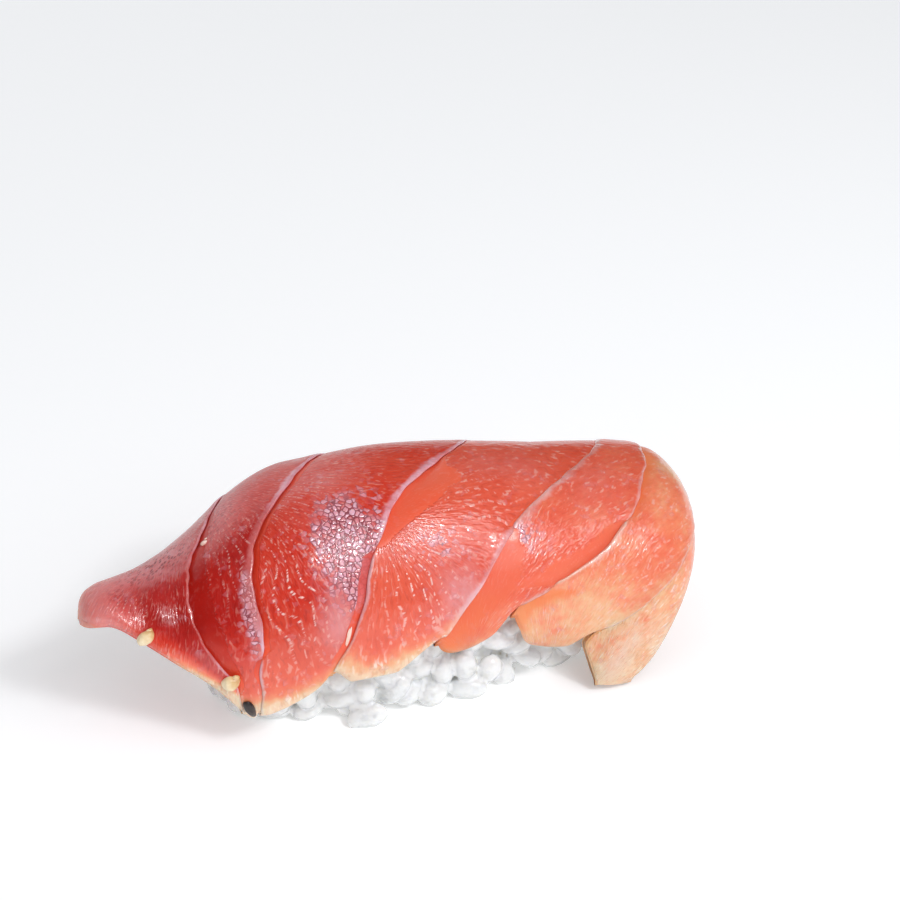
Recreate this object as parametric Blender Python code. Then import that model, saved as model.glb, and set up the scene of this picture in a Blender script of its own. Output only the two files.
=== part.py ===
"""Tuna nigiri: a scored slice of tuna draped over a small hand-pressed loaf of rice.

Frame: +X runs along the loaf from the slice's narrow tip to its broad end, +Z is up, and the
origin is the middle of the loaf's flat underside. The tables below are in millimetres and every
point is turned into metres as it is placed.

The slice is a sheet that follows a draped form. A point of that form is named by its run, which
is X along the crown and then the way down the broad end, and by its turn, which is 0 on the crown,
-1 at the foot of the front side and 1 at the foot of the back. Six slanted cuts score the slice
into seven strips. Along a cut one strip's edge stands up as a lip and the other's sinks under it.
"""

import random
from math import cos, exp, pi, radians, sin

import bmesh
import bpy
from mathutils import Matrix, Vector, noise

MM = 0.001

# Draped form: (run, value) stations
CROWN = ((-45.0, 20.6), (-44.2, 21.5), (-42, 22.0), (-38, 22.0), (-34, 22.5), (-30, 23.9),
         (-24, 27.1), (-16, 29.7), (-8, 29.8), (4, 28.5), (12, 26.7), (17, 25.4))
FOOT = ((-45.0, 15.6), (-44.2, 14.8), (-42, 13.8), (-38, 10.5), (-34, 6.0), (-30, 2.6), (-24, 0.0),
        (17, 0.0))
HALF_WIDTH = ((-45.0, 2.6), (-44.2, 4.2), (-42, 5.6), (-38, 7.5), (-34, 9.8), (-30, 12.0),
              (-24, 14.6), (-14, 16.2), (0, 16.4), (17, 16.1))
MIDLINE = ((-45.0, -4.2), (-42, -4.2), (-38, -3.8), (-34, -2.9), (-30, -1.9), (-20, 0.0), (17, 0.4))
SIDE_SQUARENESS = 2.5       # exponent of the rounded cross section
END_SQUARENESS = 6.5        # exponent of the broad end's fall
END_START = 17.0            # run at which the broad end begins to fall
END_REACH = 19.3            # how far it reaches beyond that
END_SLOPE = 0.13            # share of its height that the crown loses on the way there
END_SKEW = 2.2              # how much less far the front corner reaches than the back one
END_STEPS = 120
SIDE_TUCK = (13.0, 0.17)    # height under which the sides draw in, and the share they lose
FLARE = (6.0, 20.0)         # from here to here along X the sides stop drawing in
END_TUCK = (24.0, 8.6)      # the same for the broad end, in millimetres lost at the foot

# Scoring: each cut as (turn, run) stations, from the front hem over the crown to the back hem
CUTS = (
    ((-0.90, -27.6), (-0.74, -29.0), (-0.63, -31.2), (-0.45, -32.9), (-0.2, -32.3), (0.0, -30.5),
     (0.2, -27.2), (0.5, -22.0), (0.95, -18.0)),
    ((-0.90, -25.6), (-0.61, -25.1), (-0.45, -25.3), (-0.27, -24.4), (-0.13, -21.4), (0.0, -18.0),
     (0.2, -13.6), (0.5, -8.0), (0.95, -4.5)),
    ((-0.90, -20.0), (-0.74, -15.9), (-0.67, -13.9), (-0.55, -11.4), (-0.39, -9.3), (-0.2, -4.8),
     (0.0, 1.4), (0.2, 6.4), (0.5, 11.0), (0.95, 13.5)),
    ((-0.90, -9.0), (-0.72, -3.2), (-0.56, 3.2), (-0.46, 5.9), (-0.31, 11.8), (0.0, 21.6),
     (0.2, 25.6), (0.5, 28.0), (0.95, 25.5)),
    ((-0.90, 2.5), (-0.66, 7.3), (-0.57, 15.4), (-0.46, 22.0), (-0.34, 25.0), (0.0, 29.6),
     (0.2, 31.0), (0.5, 31.8), (0.95, 28.5)),
    ((-0.96, 19.8), (-0.81, 17.0), (-0.77, 18.4), (-0.73, 22.9), (-0.68, 26.6), (-0.55, 32.2),
     (-0.3, 36.4), (0.0, 38.0), (0.5, 37.8), (0.95, 32.5)),
)
# How far one edge of each cut sinks, as (turn, depth) stations: the edge towards the broad end
# where the depth is positive, and the edge towards the tip where it is negative
SINKS = (
    ((-1.0, 0.5), (-0.6, 0.8), (1.0, 0.8)),
    ((-1.0, -0.4), (-0.7, -0.3), (-0.55, 0.9), (1.0, 0.9)),
    ((-1.0, -0.6), (-0.5, -0.5), (-0.36, 0.6), (-0.25, 1.2), (0.15, 1.2), (1.0, 0.8)),
    ((-1.0, 1.0), (-0.55, 1.0), (-0.42, 0.3), (-0.36, -0.6), (1.0, -0.8)),
    ((-1.0, 0.3), (-0.68, 0.3), (-0.6, -0.6), (-0.44, -0.9), (-0.36, 0.3), (-0.25, 0.7),
     (1.0, 0.7)),
    ((-1.0, 0.5), (1.0, 0.5)),
)
TIP_EDGE = ((-1.0, -45.0), (1.0, -45.0))
BROAD_EDGE = ((-0.98, 30.0), (-0.9, 34.0), (-0.8, 37.0), (-0.6, 40.0), (0.0, 42.5), (0.6, 40.8),
              (0.95, 36.0))
# Hems: the turn at which the slice ends, as (strip, turn) stations; 2.5 is the middle of strip 3
FRONT_HEM = ((0.0, -0.60), (0.25, -0.52), (0.5, -0.64), (0.999, -0.85), (1.0, -0.86), (1.5, -0.87),
             (1.999, -0.85), (2.0, -0.86), (2.4, -0.85), (2.8, -0.82), (2.999, -0.77),
             (3.0, -0.76), (3.3, -0.80), (3.7, -0.80), (3.999, -0.72),
             (4.0, -0.74), (4.35, -0.77), (4.75, -0.74), (4.999, -0.66),
             (5.0, -0.69), (5.35, -0.79), (5.75, -0.81), (5.999, -0.77),
             (6.0, -0.97), (7.0, -0.99))
BACK_HEM = ((0.0, 0.62), (0.3, 0.52), (0.6, 0.66), (0.999, 0.78), (1.6, 0.86), (1.999, 0.82),
            (2.0, 0.85), (2.6, 0.9), (2.999, 0.84), (3.0, 0.86), (3.5, 0.9), (3.999, 0.84),
            (4.0, 0.86), (4.6, 0.9), (4.999, 0.86), (5.0, 0.87), (5.999, 0.9), (6.0, 0.92), (7.0, 0.93))

# Flesh
FLESH_DEPTH = 4.6           # thickness along the crown
HEM_THINNING = 0.68         # share of it lost at the hems
LIP_HEIGHT = 0.35           # how far a lip stands above the form
LIP_REACH = 0.25            # share of a strip over which its edge rises to a lip
FACE_REACH = 0.35           # share of a strip over which its edge sinks along the cut face
SWELL = 0.2                 # rise of a strip's middle
BACK_RELIEF = 0.5           # share of the relief that is left on the back
LAP_WIDTH = 0.35            # run from a lip's top to the crease behind it
ROWS = (6, 5, 8, 8, 6, 6, 5)  # quads across each strip
HEM_TO_HEM = 24             # quads along a strip

# Rice loaf
LOAF_CENTRE = Vector((-0.5, 0.2, 4.0))
LOAF_HALF = Vector((28.0, 11.75, 18.6))
LOAF_TURN = radians(1.5)    # the loaf lies turned a little under the slice
LOAF_SQUARENESS = 2.6
LOAF_SLOPE = 0.07           # height lost per millimetre of run
LOAF_CUTS = 25              # cuts across each side of the block that it is shaped from
GRAIN_LENGTH, GRAIN_WIDTH, GRAIN_DEPTH = 6.4, 3.6, 1.5
GRAIN_SPACING = 3.2
GRAIN_TRIES = 2600
UNEVENNESS = 0.5            # slow rise and fall of the pressed surface


def through(stations, at):
    """Value at a place on the smooth curve through (place, value) stations, without overshoot."""
    last = len(stations) - 2
    slopes = [(b[1] - a[1]) / (b[0] - a[0]) for a, b in zip(stations, stations[1:])]
    index = next((i for i, s in enumerate(stations[1:]) if at <= s[0]), last)

    def lean(i):
        if i in (0, last + 1):
            return slopes[min(i, last)]
        before, after = slopes[i - 1], slopes[i]
        return 2 * before * after / (before + after) if before * after > 0 else 0.0

    (x0, y0), (x1, y1) = stations[index], stations[index + 1]
    span = x1 - x0
    t = min(max((at - x0) / span, 0.0), 1.0)
    rise = (3 - 2 * t) * t * t
    return (y0 + (y1 - y0) * rise + span * lean(index) * t * (1 - t) ** 2
            + span * lean(index + 1) * t * t * (t - 1))


def rounded(squareness, angle):
    """Radius of a unit superellipse in the direction of an angle."""
    return (abs(sin(angle)) ** squareness + abs(cos(angle)) ** squareness) ** (-1 / squareness)


def end_fall():
    """Way down the broad end for evenly spaced angles, from its start to its foot."""
    drop = through(CROWN, END_START)
    way, before = [0.0], None
    for step in range(END_STEPS + 1):
        angle = pi / 2 * step / END_STEPS
        reach = rounded(END_SQUARENESS, angle)
        here = Vector((END_REACH * reach * sin(angle), drop * reach * cos(angle)))
        if before is not None:
            way.append(way[-1] + (here - before).length)
        before = here
    return way


WAY_DOWN = end_fall()


def end_angle(run):
    """Angle at which a run along the crown has come down the broad end."""
    left = run - END_START
    if left <= 0:
        return 0.0
    step = next((i for i, way in enumerate(WAY_DOWN) if way >= left), END_STEPS)
    part = (left - WAY_DOWN[step - 1]) / (WAY_DOWN[step] - WAY_DOWN[step - 1])
    return pi / 2 * min((step - 1 + part) / END_STEPS, 1.0)


def draped(run, turn, depth=0.0):
    """Point of the draped form, a depth inside it, in millimetres."""
    angle = end_angle(run)
    shrink = rounded(END_SQUARENESS, angle) * cos(angle) if run > END_START else 1.0
    foot = through(FOOT, run)
    half = through(HALF_WIDTH, run) * shrink
    reached = rounded(END_SQUARENESS, angle) * sin(angle)
    rise = (through(CROWN, run) - foot) * shrink * (1 - END_SLOPE * reached)
    x = min(run, END_START) + END_REACH * reached
    if depth:
        half -= depth * (1 - exp(-half / depth))
        rise -= depth * (1 - exp(-rise / depth))
        x -= depth * sin(angle)
    around = rounded(SIDE_SQUARENESS, turn * pi / 2)
    y = half * around * sin(turn * pi / 2)
    z = foot + rise * around * cos(turn * pi / 2)
    flare = min(max((x - FLARE[0]) / (FLARE[1] - FLARE[0]), 0.0), 1.0)
    y *= 1 - SIDE_TUCK[1] * (1 - flare) * max(1 - z / SIDE_TUCK[0], 0.0) ** 2
    drawn_in = (END_TUCK[1] * max(1 - z / END_TUCK[0], 0.0) ** 2
                + END_SKEW * min(max(-y / 16, 0.0), 1.0) ** 1.5)
    x -= drawn_in * min(max((x - 10) / 25, 0.0), 1.0) ** 1.5
    return Vector((x, y + through(MIDLINE, run), z))


def outward(run, turn):
    """Direction out of the draped form."""
    step = 0.05
    along = draped(run + step, turn) - draped(run - step, turn)
    across = draped(run, turn + step / 10) - draped(run, turn - step / 10)
    return along.cross(across).normalized()


def strip_run(strip, share, turn):
    """Run of a place a share of the way across a strip, at a turn."""
    edges = (TIP_EDGE, *CUTS, BROAD_EDGE)
    start, end = through(edges[strip], turn), through(edges[strip + 1], turn)
    if strip:
        start += LAP_WIDTH
    return start + (end - start) * share


def edge_height(cut, turn, towards_broad_end):
    """Height over the draped form of one edge of a cut: a lip, or sunk under the other's lip."""
    sink = through(SINKS[cut], turn) * (1 if towards_broad_end else -1)
    return -sink if sink > 0 else LIP_HEIGHT * min(-sink / LIP_HEIGHT, 1.0)


def strip_relief(strip, share, turn):
    """Height of a strip's surface over the draped form, between the edges of its two cuts."""
    height = SWELL * sin(pi * share)
    for cut, away, beyond in ((strip - 1, share, True), (strip, 1 - share, False)):
        if 0 <= cut < len(CUTS):
            edge = edge_height(cut, turn, beyond)
            near = max(1 - away / (LIP_REACH if edge > 0 else FACE_REACH), 0.0)
            height += edge * near * near * (3 - 2 * near)
    return height


def slice_point(strip, share, across, inner):
    """Point of the slice; across runs from -1 at the front hem to 1 at the back hem."""
    front, rear = (through(hem, strip + share * 0.999) for hem in (FRONT_HEM, BACK_HEM))
    turn = front + (rear - front) * (across + 1) / 2
    run = strip_run(strip, share, turn)
    if inner:
        return draped(run, turn, FLESH_DEPTH * (1 - HEM_THINNING * abs(across) ** 5))
    back = min(max(turn / 0.3 + 0.5, 0.0), 1.0)
    fade = (1 - 0.5 * abs(across) ** 6) * (1 - (1 - BACK_RELIEF) * back)
    return draped(run, turn) + outward(run, turn) * strip_relief(strip, share, turn) * fade


def finish(name, mesh_data, colour, roughness, subsurface):
    """Object with its own material, from a bmesh."""
    mesh = bpy.data.meshes.new(name)
    mesh_data.to_mesh(mesh)
    mesh_data.free()
    mesh.shade_smooth()
    material = bpy.data.materials.new(name)
    material.use_nodes = True
    surface = material.node_tree.nodes["Principled BSDF"]
    surface.inputs["Base Color"].default_value = (*colour, 1.0)
    surface.inputs["Roughness"].default_value = roughness
    surface.inputs["Metallic"].default_value = 0.0
    surface.inputs["Subsurface Weight"].default_value = subsurface
    mesh.materials.append(material)
    piece = bpy.data.objects.new(name, mesh)
    bpy.context.collection.objects.link(piece)
    return piece


def make_slice():
    """The scored slice: a flat sheet, doubled by an extrusion and then draped."""
    places = [(strip, row / rows) for strip, rows in enumerate(ROWS) for row in range(rows + 1)]
    sheet = bmesh.new()
    bmesh.ops.create_grid(sheet, x_segments=len(places) - 1, y_segments=HEM_TO_HEM, size=1.0)
    doubled = bmesh.ops.extrude_face_region(sheet, geom=sheet.faces[:], use_keep_orig=True)
    upper = {item for item in doubled["geom"] if isinstance(item, bmesh.types.BMVert)}
    for vertex in sheet.verts:
        strip, share = places[round((vertex.co.x + 1) / 2 * (len(places) - 1))]
        point = slice_point(strip, share, vertex.co.y, vertex not in upper)
        vertex.co = point * MM
    bmesh.ops.triangulate(sheet, faces=sheet.faces[:], quad_method="SHORT_EDGE")
    bmesh.ops.recalc_face_normals(sheet, faces=sheet.faces[:])
    return finish("tuna_slice", sheet, (0.62, 0.09, 0.06), 0.22, 0.25)


def grain_lumps():
    """Seeded grains on the loaf: the direction of each centre, and the way that it lies."""
    draw = random.Random(11)
    grains = []
    for _ in range(GRAIN_TRIES):
        out = Vector((draw.gauss(0, 1), draw.gauss(0, 1), draw.gauss(0, 1))).normalized()
        centre, angle = loaf_point(out), draw.uniform(0, pi)
        if all((centre - other).length > GRAIN_SPACING for other, _ in grains):
            lie = out.orthogonal().normalized()
            grains.append((centre, lie * cos(angle) + out.cross(lie) * sin(angle)))
    return grains


def loaf_point(out):
    """Point of the loaf's smooth outline in a direction from its centre, in millimetres."""
    fit = sum(abs(part) ** LOAF_SQUARENESS for part in out) ** (-1 / LOAF_SQUARENESS)
    point = Vector(part * half * fit for part, half in zip(out, LOAF_HALF))
    point.z *= 1 - LOAF_SLOPE * point.x / LOAF_HALF.z * (point.z > 0)
    return point


def make_loaf():
    """The rice: a block puffed into a loaf, pressed into grains and cut flat underneath."""
    grains = grain_lumps()
    loaf = bmesh.new()
    bmesh.ops.create_cube(loaf, size=2.0)
    bmesh.ops.subdivide_edges(loaf, edges=loaf.edges[:], cuts=LOAF_CUTS, use_grid_fill=True)
    for vertex in loaf.verts:
        out = Vector(sin(pi / 4 * part) for part in vertex.co).normalized()
        point = loaf_point(out)
        crest = 0.0
        for centre, lie in grains:
            away = point - centre
            if away.length_squared < GRAIN_LENGTH ** 2 / 4:
                length = away.dot(lie) * 2 / GRAIN_LENGTH
                width = (away - lie * away.dot(lie)).length * 2 / GRAIN_WIDTH
                crest = max(crest, 1 - length ** 2 - width ** 2)
        sunk = GRAIN_DEPTH * (1 - crest ** 0.5) + UNEVENNESS * (1 + noise.noise(point / 7))
        point -= out * sunk * 0.8
        vertex.co = point
    bmesh.ops.rotate(loaf, verts=loaf.verts[:], matrix=Matrix.Rotation(LOAF_TURN, 3, "Z"))
    bmesh.ops.translate(loaf, verts=loaf.verts[:], vec=LOAF_CENTRE)
    bmesh.ops.scale(loaf, verts=loaf.verts[:], vec=(MM, MM, MM))
    cut = bmesh.ops.bisect_plane(loaf, geom=loaf.verts[:] + loaf.edges[:] + loaf.faces[:],
                                 plane_co=(0, 0, 0), plane_no=(0, 0, -1), clear_outer=True)
    rim = [item for item in cut["geom_cut"] if isinstance(item, bmesh.types.BMEdge)]
    bmesh.ops.edgeloop_fill(loaf, edges=rim)
    bmesh.ops.recalc_face_normals(loaf, faces=loaf.faces[:])
    return finish("rice_bed", loaf, (0.80, 0.79, 0.74), 0.35, 0.3)


for leftover in list(bpy.data.objects):
    bpy.data.objects.remove(leftover)
make_slice()
make_loaf()
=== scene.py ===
"""Looks for one tuna nigiri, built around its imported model.

The slice is one sheet draped over the rice. A place on it is named by its run, which is X along
the crown and then the way down the broad end, and by its turn, which is 0 on the crown, -1 at the
foot of the front and 1 at the foot of the back. Six slanted cuts part it into seven strips, and
along each cut one strip's edge curls up into a lip while its neighbour's cut face dips under it.
Tables are in millimetres; MM turns them into metres.
"""

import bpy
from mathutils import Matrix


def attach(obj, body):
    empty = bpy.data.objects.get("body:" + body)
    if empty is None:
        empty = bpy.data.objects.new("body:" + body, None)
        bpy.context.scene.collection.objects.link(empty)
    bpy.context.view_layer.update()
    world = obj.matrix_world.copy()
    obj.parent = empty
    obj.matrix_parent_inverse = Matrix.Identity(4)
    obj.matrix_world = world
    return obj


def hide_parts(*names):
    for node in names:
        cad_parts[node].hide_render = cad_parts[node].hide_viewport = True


bl_info = {
    "name": "Tuna Nigiri",
    "version": (1, 0, 0),
    "blender": (4, 5, 0),
    "location": "3D View > Sidebar > Nigiri",
    "description": "Builds a scored slice of tuna over pressed rice, with sesame and a plain stage",
    "category": "Object",
}

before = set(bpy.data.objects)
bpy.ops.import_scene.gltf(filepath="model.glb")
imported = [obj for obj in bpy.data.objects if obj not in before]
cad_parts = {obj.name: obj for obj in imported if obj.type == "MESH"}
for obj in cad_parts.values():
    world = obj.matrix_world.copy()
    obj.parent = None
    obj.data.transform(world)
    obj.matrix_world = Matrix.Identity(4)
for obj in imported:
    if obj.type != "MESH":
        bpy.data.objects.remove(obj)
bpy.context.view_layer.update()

import random
from math import cos, pi, radians, sin

import bmesh
import bpy
import numpy as np
from bpy.props import FloatProperty, FloatVectorProperty, PointerProperty
from mathutils import Matrix, Vector, noise
from mathutils.bvhtree import BVHTree

MM = 0.001

TIP_RUN = -45.2             # run at the slice's narrow tip
# Draped form: (run, value) stations
CROWN = ((TIP_RUN, 18.8), (-45.0, 19.8), (-44.6, 20.7), (-44, 21.4), (-43, 21.8), (-42, 22.0),
         (-38, 22.0), (-34, 22.5), (-30, 23.9), (-24, 27.1), (-16, 29.7), (-8, 29.8), (4, 28.5),
         (12, 26.7), (17, 25.4))
FOOT = ((TIP_RUN, 17.4), (-45.0, 16.5), (-44.6, 15.6), (-44, 14.9), (-43, 14.2), (-42, 13.7),
        (-38, 10.5), (-34, 6.0), (-30, 2.6), (-24, 0.0), (17, 0.0))
HALF_WIDTH = ((TIP_RUN, 0.8), (-45.0, 1.9), (-44.6, 3.0), (-44, 4.0), (-43, 4.9), (-42, 5.6),
              (-38, 7.5), (-34, 9.8), (-30, 12.0), (-24, 14.6), (-14, 16.2), (0, 16.4), (17, 16.1))
MIDLINE = ((-45.0, -4.2), (-42, -4.2), (-38, -3.8), (-34, -2.9), (-30, -1.9), (-20, 0.0), (17, 0.4))
SIDE_SQUARENESS = 2.5
SIDE_TUCK = (13.0, 0.17)    # height below which the sides draw in, and by what share
FLARE = (6.0, 20.0)         # where along X the sides stop drawing in
END_SQUARENESS = 6.5
END_START = 17.0            # where the broad end starts to come down, and how far it reaches
END_REACH = 19.3
END_TUCK = (24.0, 8.6)      # height below which the broad end draws in, and how far
END_SLOPE = 0.13
END_SKEW = (16.0, 2.2)      # how far front of the middle the end's corner draws in, and how far
END_EASE = (10.0, 25.0)     # where these start along X, and over what length

# Each cut as (turn, run) stations, from the front hem over the crown to the back hem
CUTS = (
    ((-0.90, -27.6), (-0.74, -29.0), (-0.63, -31.2), (-0.45, -32.9), (-0.2, -32.3), (0.0, -30.5),
     (0.2, -27.2), (0.5, -22.0), (0.95, -18.0)),
    ((-0.90, -25.6), (-0.61, -25.1), (-0.45, -25.3), (-0.27, -24.4), (-0.13, -21.4), (0.0, -18.0),
     (0.2, -13.6), (0.5, -8.0), (0.95, -4.5)),
    ((-0.90, -20.0), (-0.74, -15.9), (-0.67, -13.9), (-0.55, -11.4), (-0.39, -9.3), (-0.2, -4.8),
     (0.0, 1.4), (0.2, 6.4), (0.5, 11.0), (0.95, 13.5)),
    ((-0.90, -9.0), (-0.72, -3.2), (-0.56, 3.2), (-0.46, 5.9), (-0.31, 11.8), (0.0, 21.6),
     (0.2, 25.6), (0.5, 28.0), (0.95, 25.5)),
    ((-0.90, 2.5), (-0.66, 7.3), (-0.57, 15.4), (-0.46, 22.0), (-0.34, 25.0), (0.0, 29.6),
     (0.2, 31.0), (0.5, 31.8), (0.95, 28.5)),
    ((-0.96, 19.8), (-0.81, 17.0), (-0.77, 18.4), (-0.73, 22.9), (-0.68, 26.6), (-0.55, 32.2),
     (-0.3, 36.4), (0.0, 38.0), (0.5, 37.8), (0.95, 32.5)),
)
# How far one edge of each cut dips: the edge towards the broad end where the depth is positive,
# the edge towards the tip where it is negative
SINKS = (
    ((-1.0, 0.5), (-0.6, 0.8), (1.0, 0.8)),
    ((-1.0, -0.4), (-0.7, -0.3), (-0.55, 0.9), (1.0, 0.9)),
    ((-1.0, -0.6), (-0.5, -0.5), (-0.36, 0.6), (-0.25, 1.2), (0.15, 1.2), (1.0, 0.8)),
    ((-1.0, 1.0), (-0.55, 1.0), (-0.42, 0.3), (-0.36, -0.6), (1.0, -0.8)),
    ((-1.0, 0.4), (-0.64, 0.4), (-0.57, -0.5), (-0.44, -0.9), (-0.36, 0.3), (-0.25, 0.7), (1.0, 0.7)),
    ((-1.0, 0.5), (1.0, 0.5)),
)
# Width of the smooth cut face that dips, and of the pale ribbon along the lip, whose paleness is partly
# painted sheen
FACES = (
    ((-1.0, 0.05), (-0.82, 0.1), (-0.7, 1.6), (-0.45, 3.2), (0.2, 1.2), (1.0, 1.2)),
    ((-1.0, 0.05), (-0.78, 0.1), (-0.7, 1.0), (-0.5, 1.2), (0.1, 1.2), (1.0, 1.2)),
    ((-1.0, 1.2), (-0.42, 1.6), (-0.34, 3.4), (-0.26, 5.0), (-0.18, 5.0), (-0.1, 3.2), (-0.03, 1.4),
     (0.05, 0.7), (1.0, 0.7)),
    ((-1.0, 3.5), (-0.6, 5.0), (-0.5, 4.0), (-0.44, 1.6), (-0.36, 0.6), (0.1, 0.5), (1.0, 0.5)),
    ((-1.0, 1.5), (-0.66, 3.6), (-0.54, 3.4), (-0.44, 2.6), (-0.34, 1.5), (0.0, 2.6), (1.0, 1.6)),
    ((-1.0, 0.3), (1.0, 0.4)),
)
RIBBONS = (
    ((-1.0, 0.3), (-0.6, 0.35), (-0.3, 0.4), (0.0, 0.3), (1.0, 0.3)),
    ((-1.0, 0.35), (-0.66, 0.5), (-0.54, 1.5), (-0.35, 1.7), (-0.24, 0.8), (0.0, 1.0), (0.2, 0.5),
     (1.0, 0.5)),
    ((-1.0, 0.4), (-0.45, 0.5), (-0.3, 1.0), (0.0, 1.0), (0.2, 0.5), (1.0, 0.5)),
    ((-1.0, 0.4), (-0.6, 0.85), (-0.4, 1.3), (-0.2, 1.2), (0.0, 1.0), (1.0, 0.5)),
    ((-1.0, 0.35), (-0.6, 0.7), (-0.45, 0.8), (-0.35, 0.6), (1.0, 0.4)),
    ((-1.0, 0.4), (1.0, 0.4)),
)
TIP_EDGE = ((-1.0, TIP_RUN), (1.0, TIP_RUN))
BROAD_EDGE = ((-0.98, 30.0), (-0.9, 34.0), (-0.8, 37.0), (-0.6, 40.0), (0.0, 42.5), (0.6, 40.8),
              (0.95, 36.0))
# Hems: the turn at which the slice ends, as (strip, turn) stations; 2.5 is the middle of strip 3
FRONT_HEM = ((0.0, -0.60), (0.25, -0.52), (0.5, -0.64), (0.999, -0.85), (1.0, -0.86), (1.5, -0.87),
             (1.999, -0.85), (2.0, -0.86), (2.4, -0.85), (2.8, -0.82), (2.999, -0.77),
             (3.0, -0.76), (3.3, -0.80), (3.7, -0.80), (3.999, -0.72),
             (4.0, -0.74), (4.35, -0.77), (4.75, -0.74), (4.999, -0.66),
             (5.0, -0.69), (5.35, -0.79), (5.75, -0.81), (5.999, -0.77),
             (6.0, -0.97), (7.0, -0.99))
BACK_HEM = ((0.0, 0.62), (0.3, 0.52), (0.6, 0.66), (0.999, 0.78), (1.6, 0.86), (1.999, 0.82),
            (2.0, 0.85), (2.6, 0.9), (2.999, 0.84), (3.0, 0.86), (3.5, 0.9), (3.999, 0.84),
            (4.0, 0.86), (4.6, 0.9), (4.999, 0.86), (5.0, 0.87), (5.999, 0.9), (6.0, 0.92), (7.0, 0.93))

# Creases by the tip: (run at turn 0, run per turn, lowest turn, highest turn, depth, half width)
CREASES = ((-38.3, -0.2, -0.62, 0.0, 0.45, 0.6), (-40.1, -1.2, -0.66, 0.12, 0.4, 0.6),
           (-36.4, -0.4, -0.5, -0.1, -0.3, 0.9))

# Sheet: columns across each strip's body, columns folded round each of its edges, rows hem to hem
BODY_COLUMNS = (36, 30, 44, 46, 40, 34, 26)
FOLD_COLUMNS = 6
ROWS = 130
CROWDING = 0.6              # how much closer the columns and rows lie near an edge
HEM_THINNING = 0.68
FLAP_THINNING = 0.6         # how much thinner the last strip is low on the front
TIP_THINNING = (3.0, 0.12)  # length over which the tip thins, and the least share left
BRIM = 2.6                  # thickness at the hems that is rounded off
CORNER = 1.5                # how softly the hem turns into the broad end's edge
SWELL = 0.2                 # how far a strip's middle bulges
BACK_RELIEF = 0.6           # how much of the relief is left on the back
PALE_HEM = (4.5, 0.25, 0.5)         # width of the pale hems, and the tone added there and at the tip
PALE_HEM_STRIPS = 4         # strips from the tip that have one
CUT_WAVER = 0.18            # how far a cut strays to either side of its smooth course
LIP_WAVER = 0.4
RIBBON_WAVER = 0.35
LIP_EASE = 0.3              # sinking at which a lip or a dip is fully there
LIP_SLOPE = 2.2             # how far behind a lip its strip still rises towards it
LIP_STEM = 0.25             # share of a fold that runs straight up to the lip's curl
LIP_UNDERSIDE = radians(-80)        # where round the curl the lip's underside starts
CREASE_DEPTH = 0.15         # how far a lip's foot lies under the dipped face
FACE_GAP = 0.1              # distance between a lip's rim and the body that it hangs over
GROOVE = 0.18               # notch left where a cut stays shut
DIP_SHARE = 0.55            # how much of a cut's sinking the flesh's own give leaves open

# Pressed rice: the outline that its grains reach
LOAF_CENTRE = (-0.5, 0.2, 4.0)
LOAF_HALF = (28.0, 11.75, 18.6)
LOAF_TURN = 1.5             # degrees
LOAF_SQUARENESS = 3.4
LOAF_SLOPE = 0.07           # height lost per millimetre of run
# How far the foot of the loaf's front draws back, as (X, distance) stations, and up to what height
FOOT_SHIFT = ((-28, 2.5), (-22, 3.4), (-18, 2.6), (-14.5, 1.4), (-12, -1.6), (-9, -1.6), (-6.5, 0.6),
              (-2, -0.4), (4, 0.5), (8, 2.0), (12, 3.0), (18, 2.8), (27, 1.0))
FOOT_HEIGHT = 6.0
CORE_INSET = (0.55, 0.8)    # how far the core lies inside, in grain widths, and more at its foot
FLOOR_CUT = 0.2             # height at which the heap is cut flat
# Layers of grains: depth of their middles and least distance apart in grain widths, and tries
GRAIN_LAYERS = ((0.3, 0.56, 9000), (0.85, 0.5, 5000))
GRAIN_SHARES = (-0.85, -0.45, 0.0, 0.45, 0.85)      # places along a grain that keep others away
GRAIN_SPREAD = (1.6, 1.0, 0.7)      # how the tries favour the long sides
GRAIN_TILT = 0.35
UNDER_HEM = 4.5             # how far up under the hems the grains go on
UNDER_END = 19.0            # and how high they go where the loaf faces its ends
END_FACING = 0.6
# How grains differ: length, bend, blunter end and lumps; and how flat they all are
GRAIN_LENGTHS = (0.88, 1.12)
GRAIN_BENDS = (-0.5, 0.9)
GRAIN_BLUNTNESS = 0.16
GRAIN_LUMPS = 0.14
GRAIN_FLATNESS = 0.84

# Seeds and crumbs on the slice: (run, turn, heading, length, width, thickness, nub)
PALE_SEEDS = ((-38.3, -0.57, (0.9, 0.1, 0.5), 0.84, 0.62, 0.5, 0.62),
              (-29.1, -0.72, (0.9, 0.1, 0.3), 0.8, 0.78, 0.5, 0.72))
BLACK_SEEDS = ((-27.1, -0.82, (0.36, -0.1, -1.0), 0.95, 0.5, 0.3, 0),)
CRUMBS = ((-28.8, -0.02, (1.0, 0.0, 0.3), 0.34, 0.2, 0.2, 0.9),
          (-14.6, -0.66, (0.4, 0.2, 1.0), 0.9, 0.2, 0.08, 0.4))
NUB_SIZE = 0.42             # a nub's size beside the seed or crumb that it grows on

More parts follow.
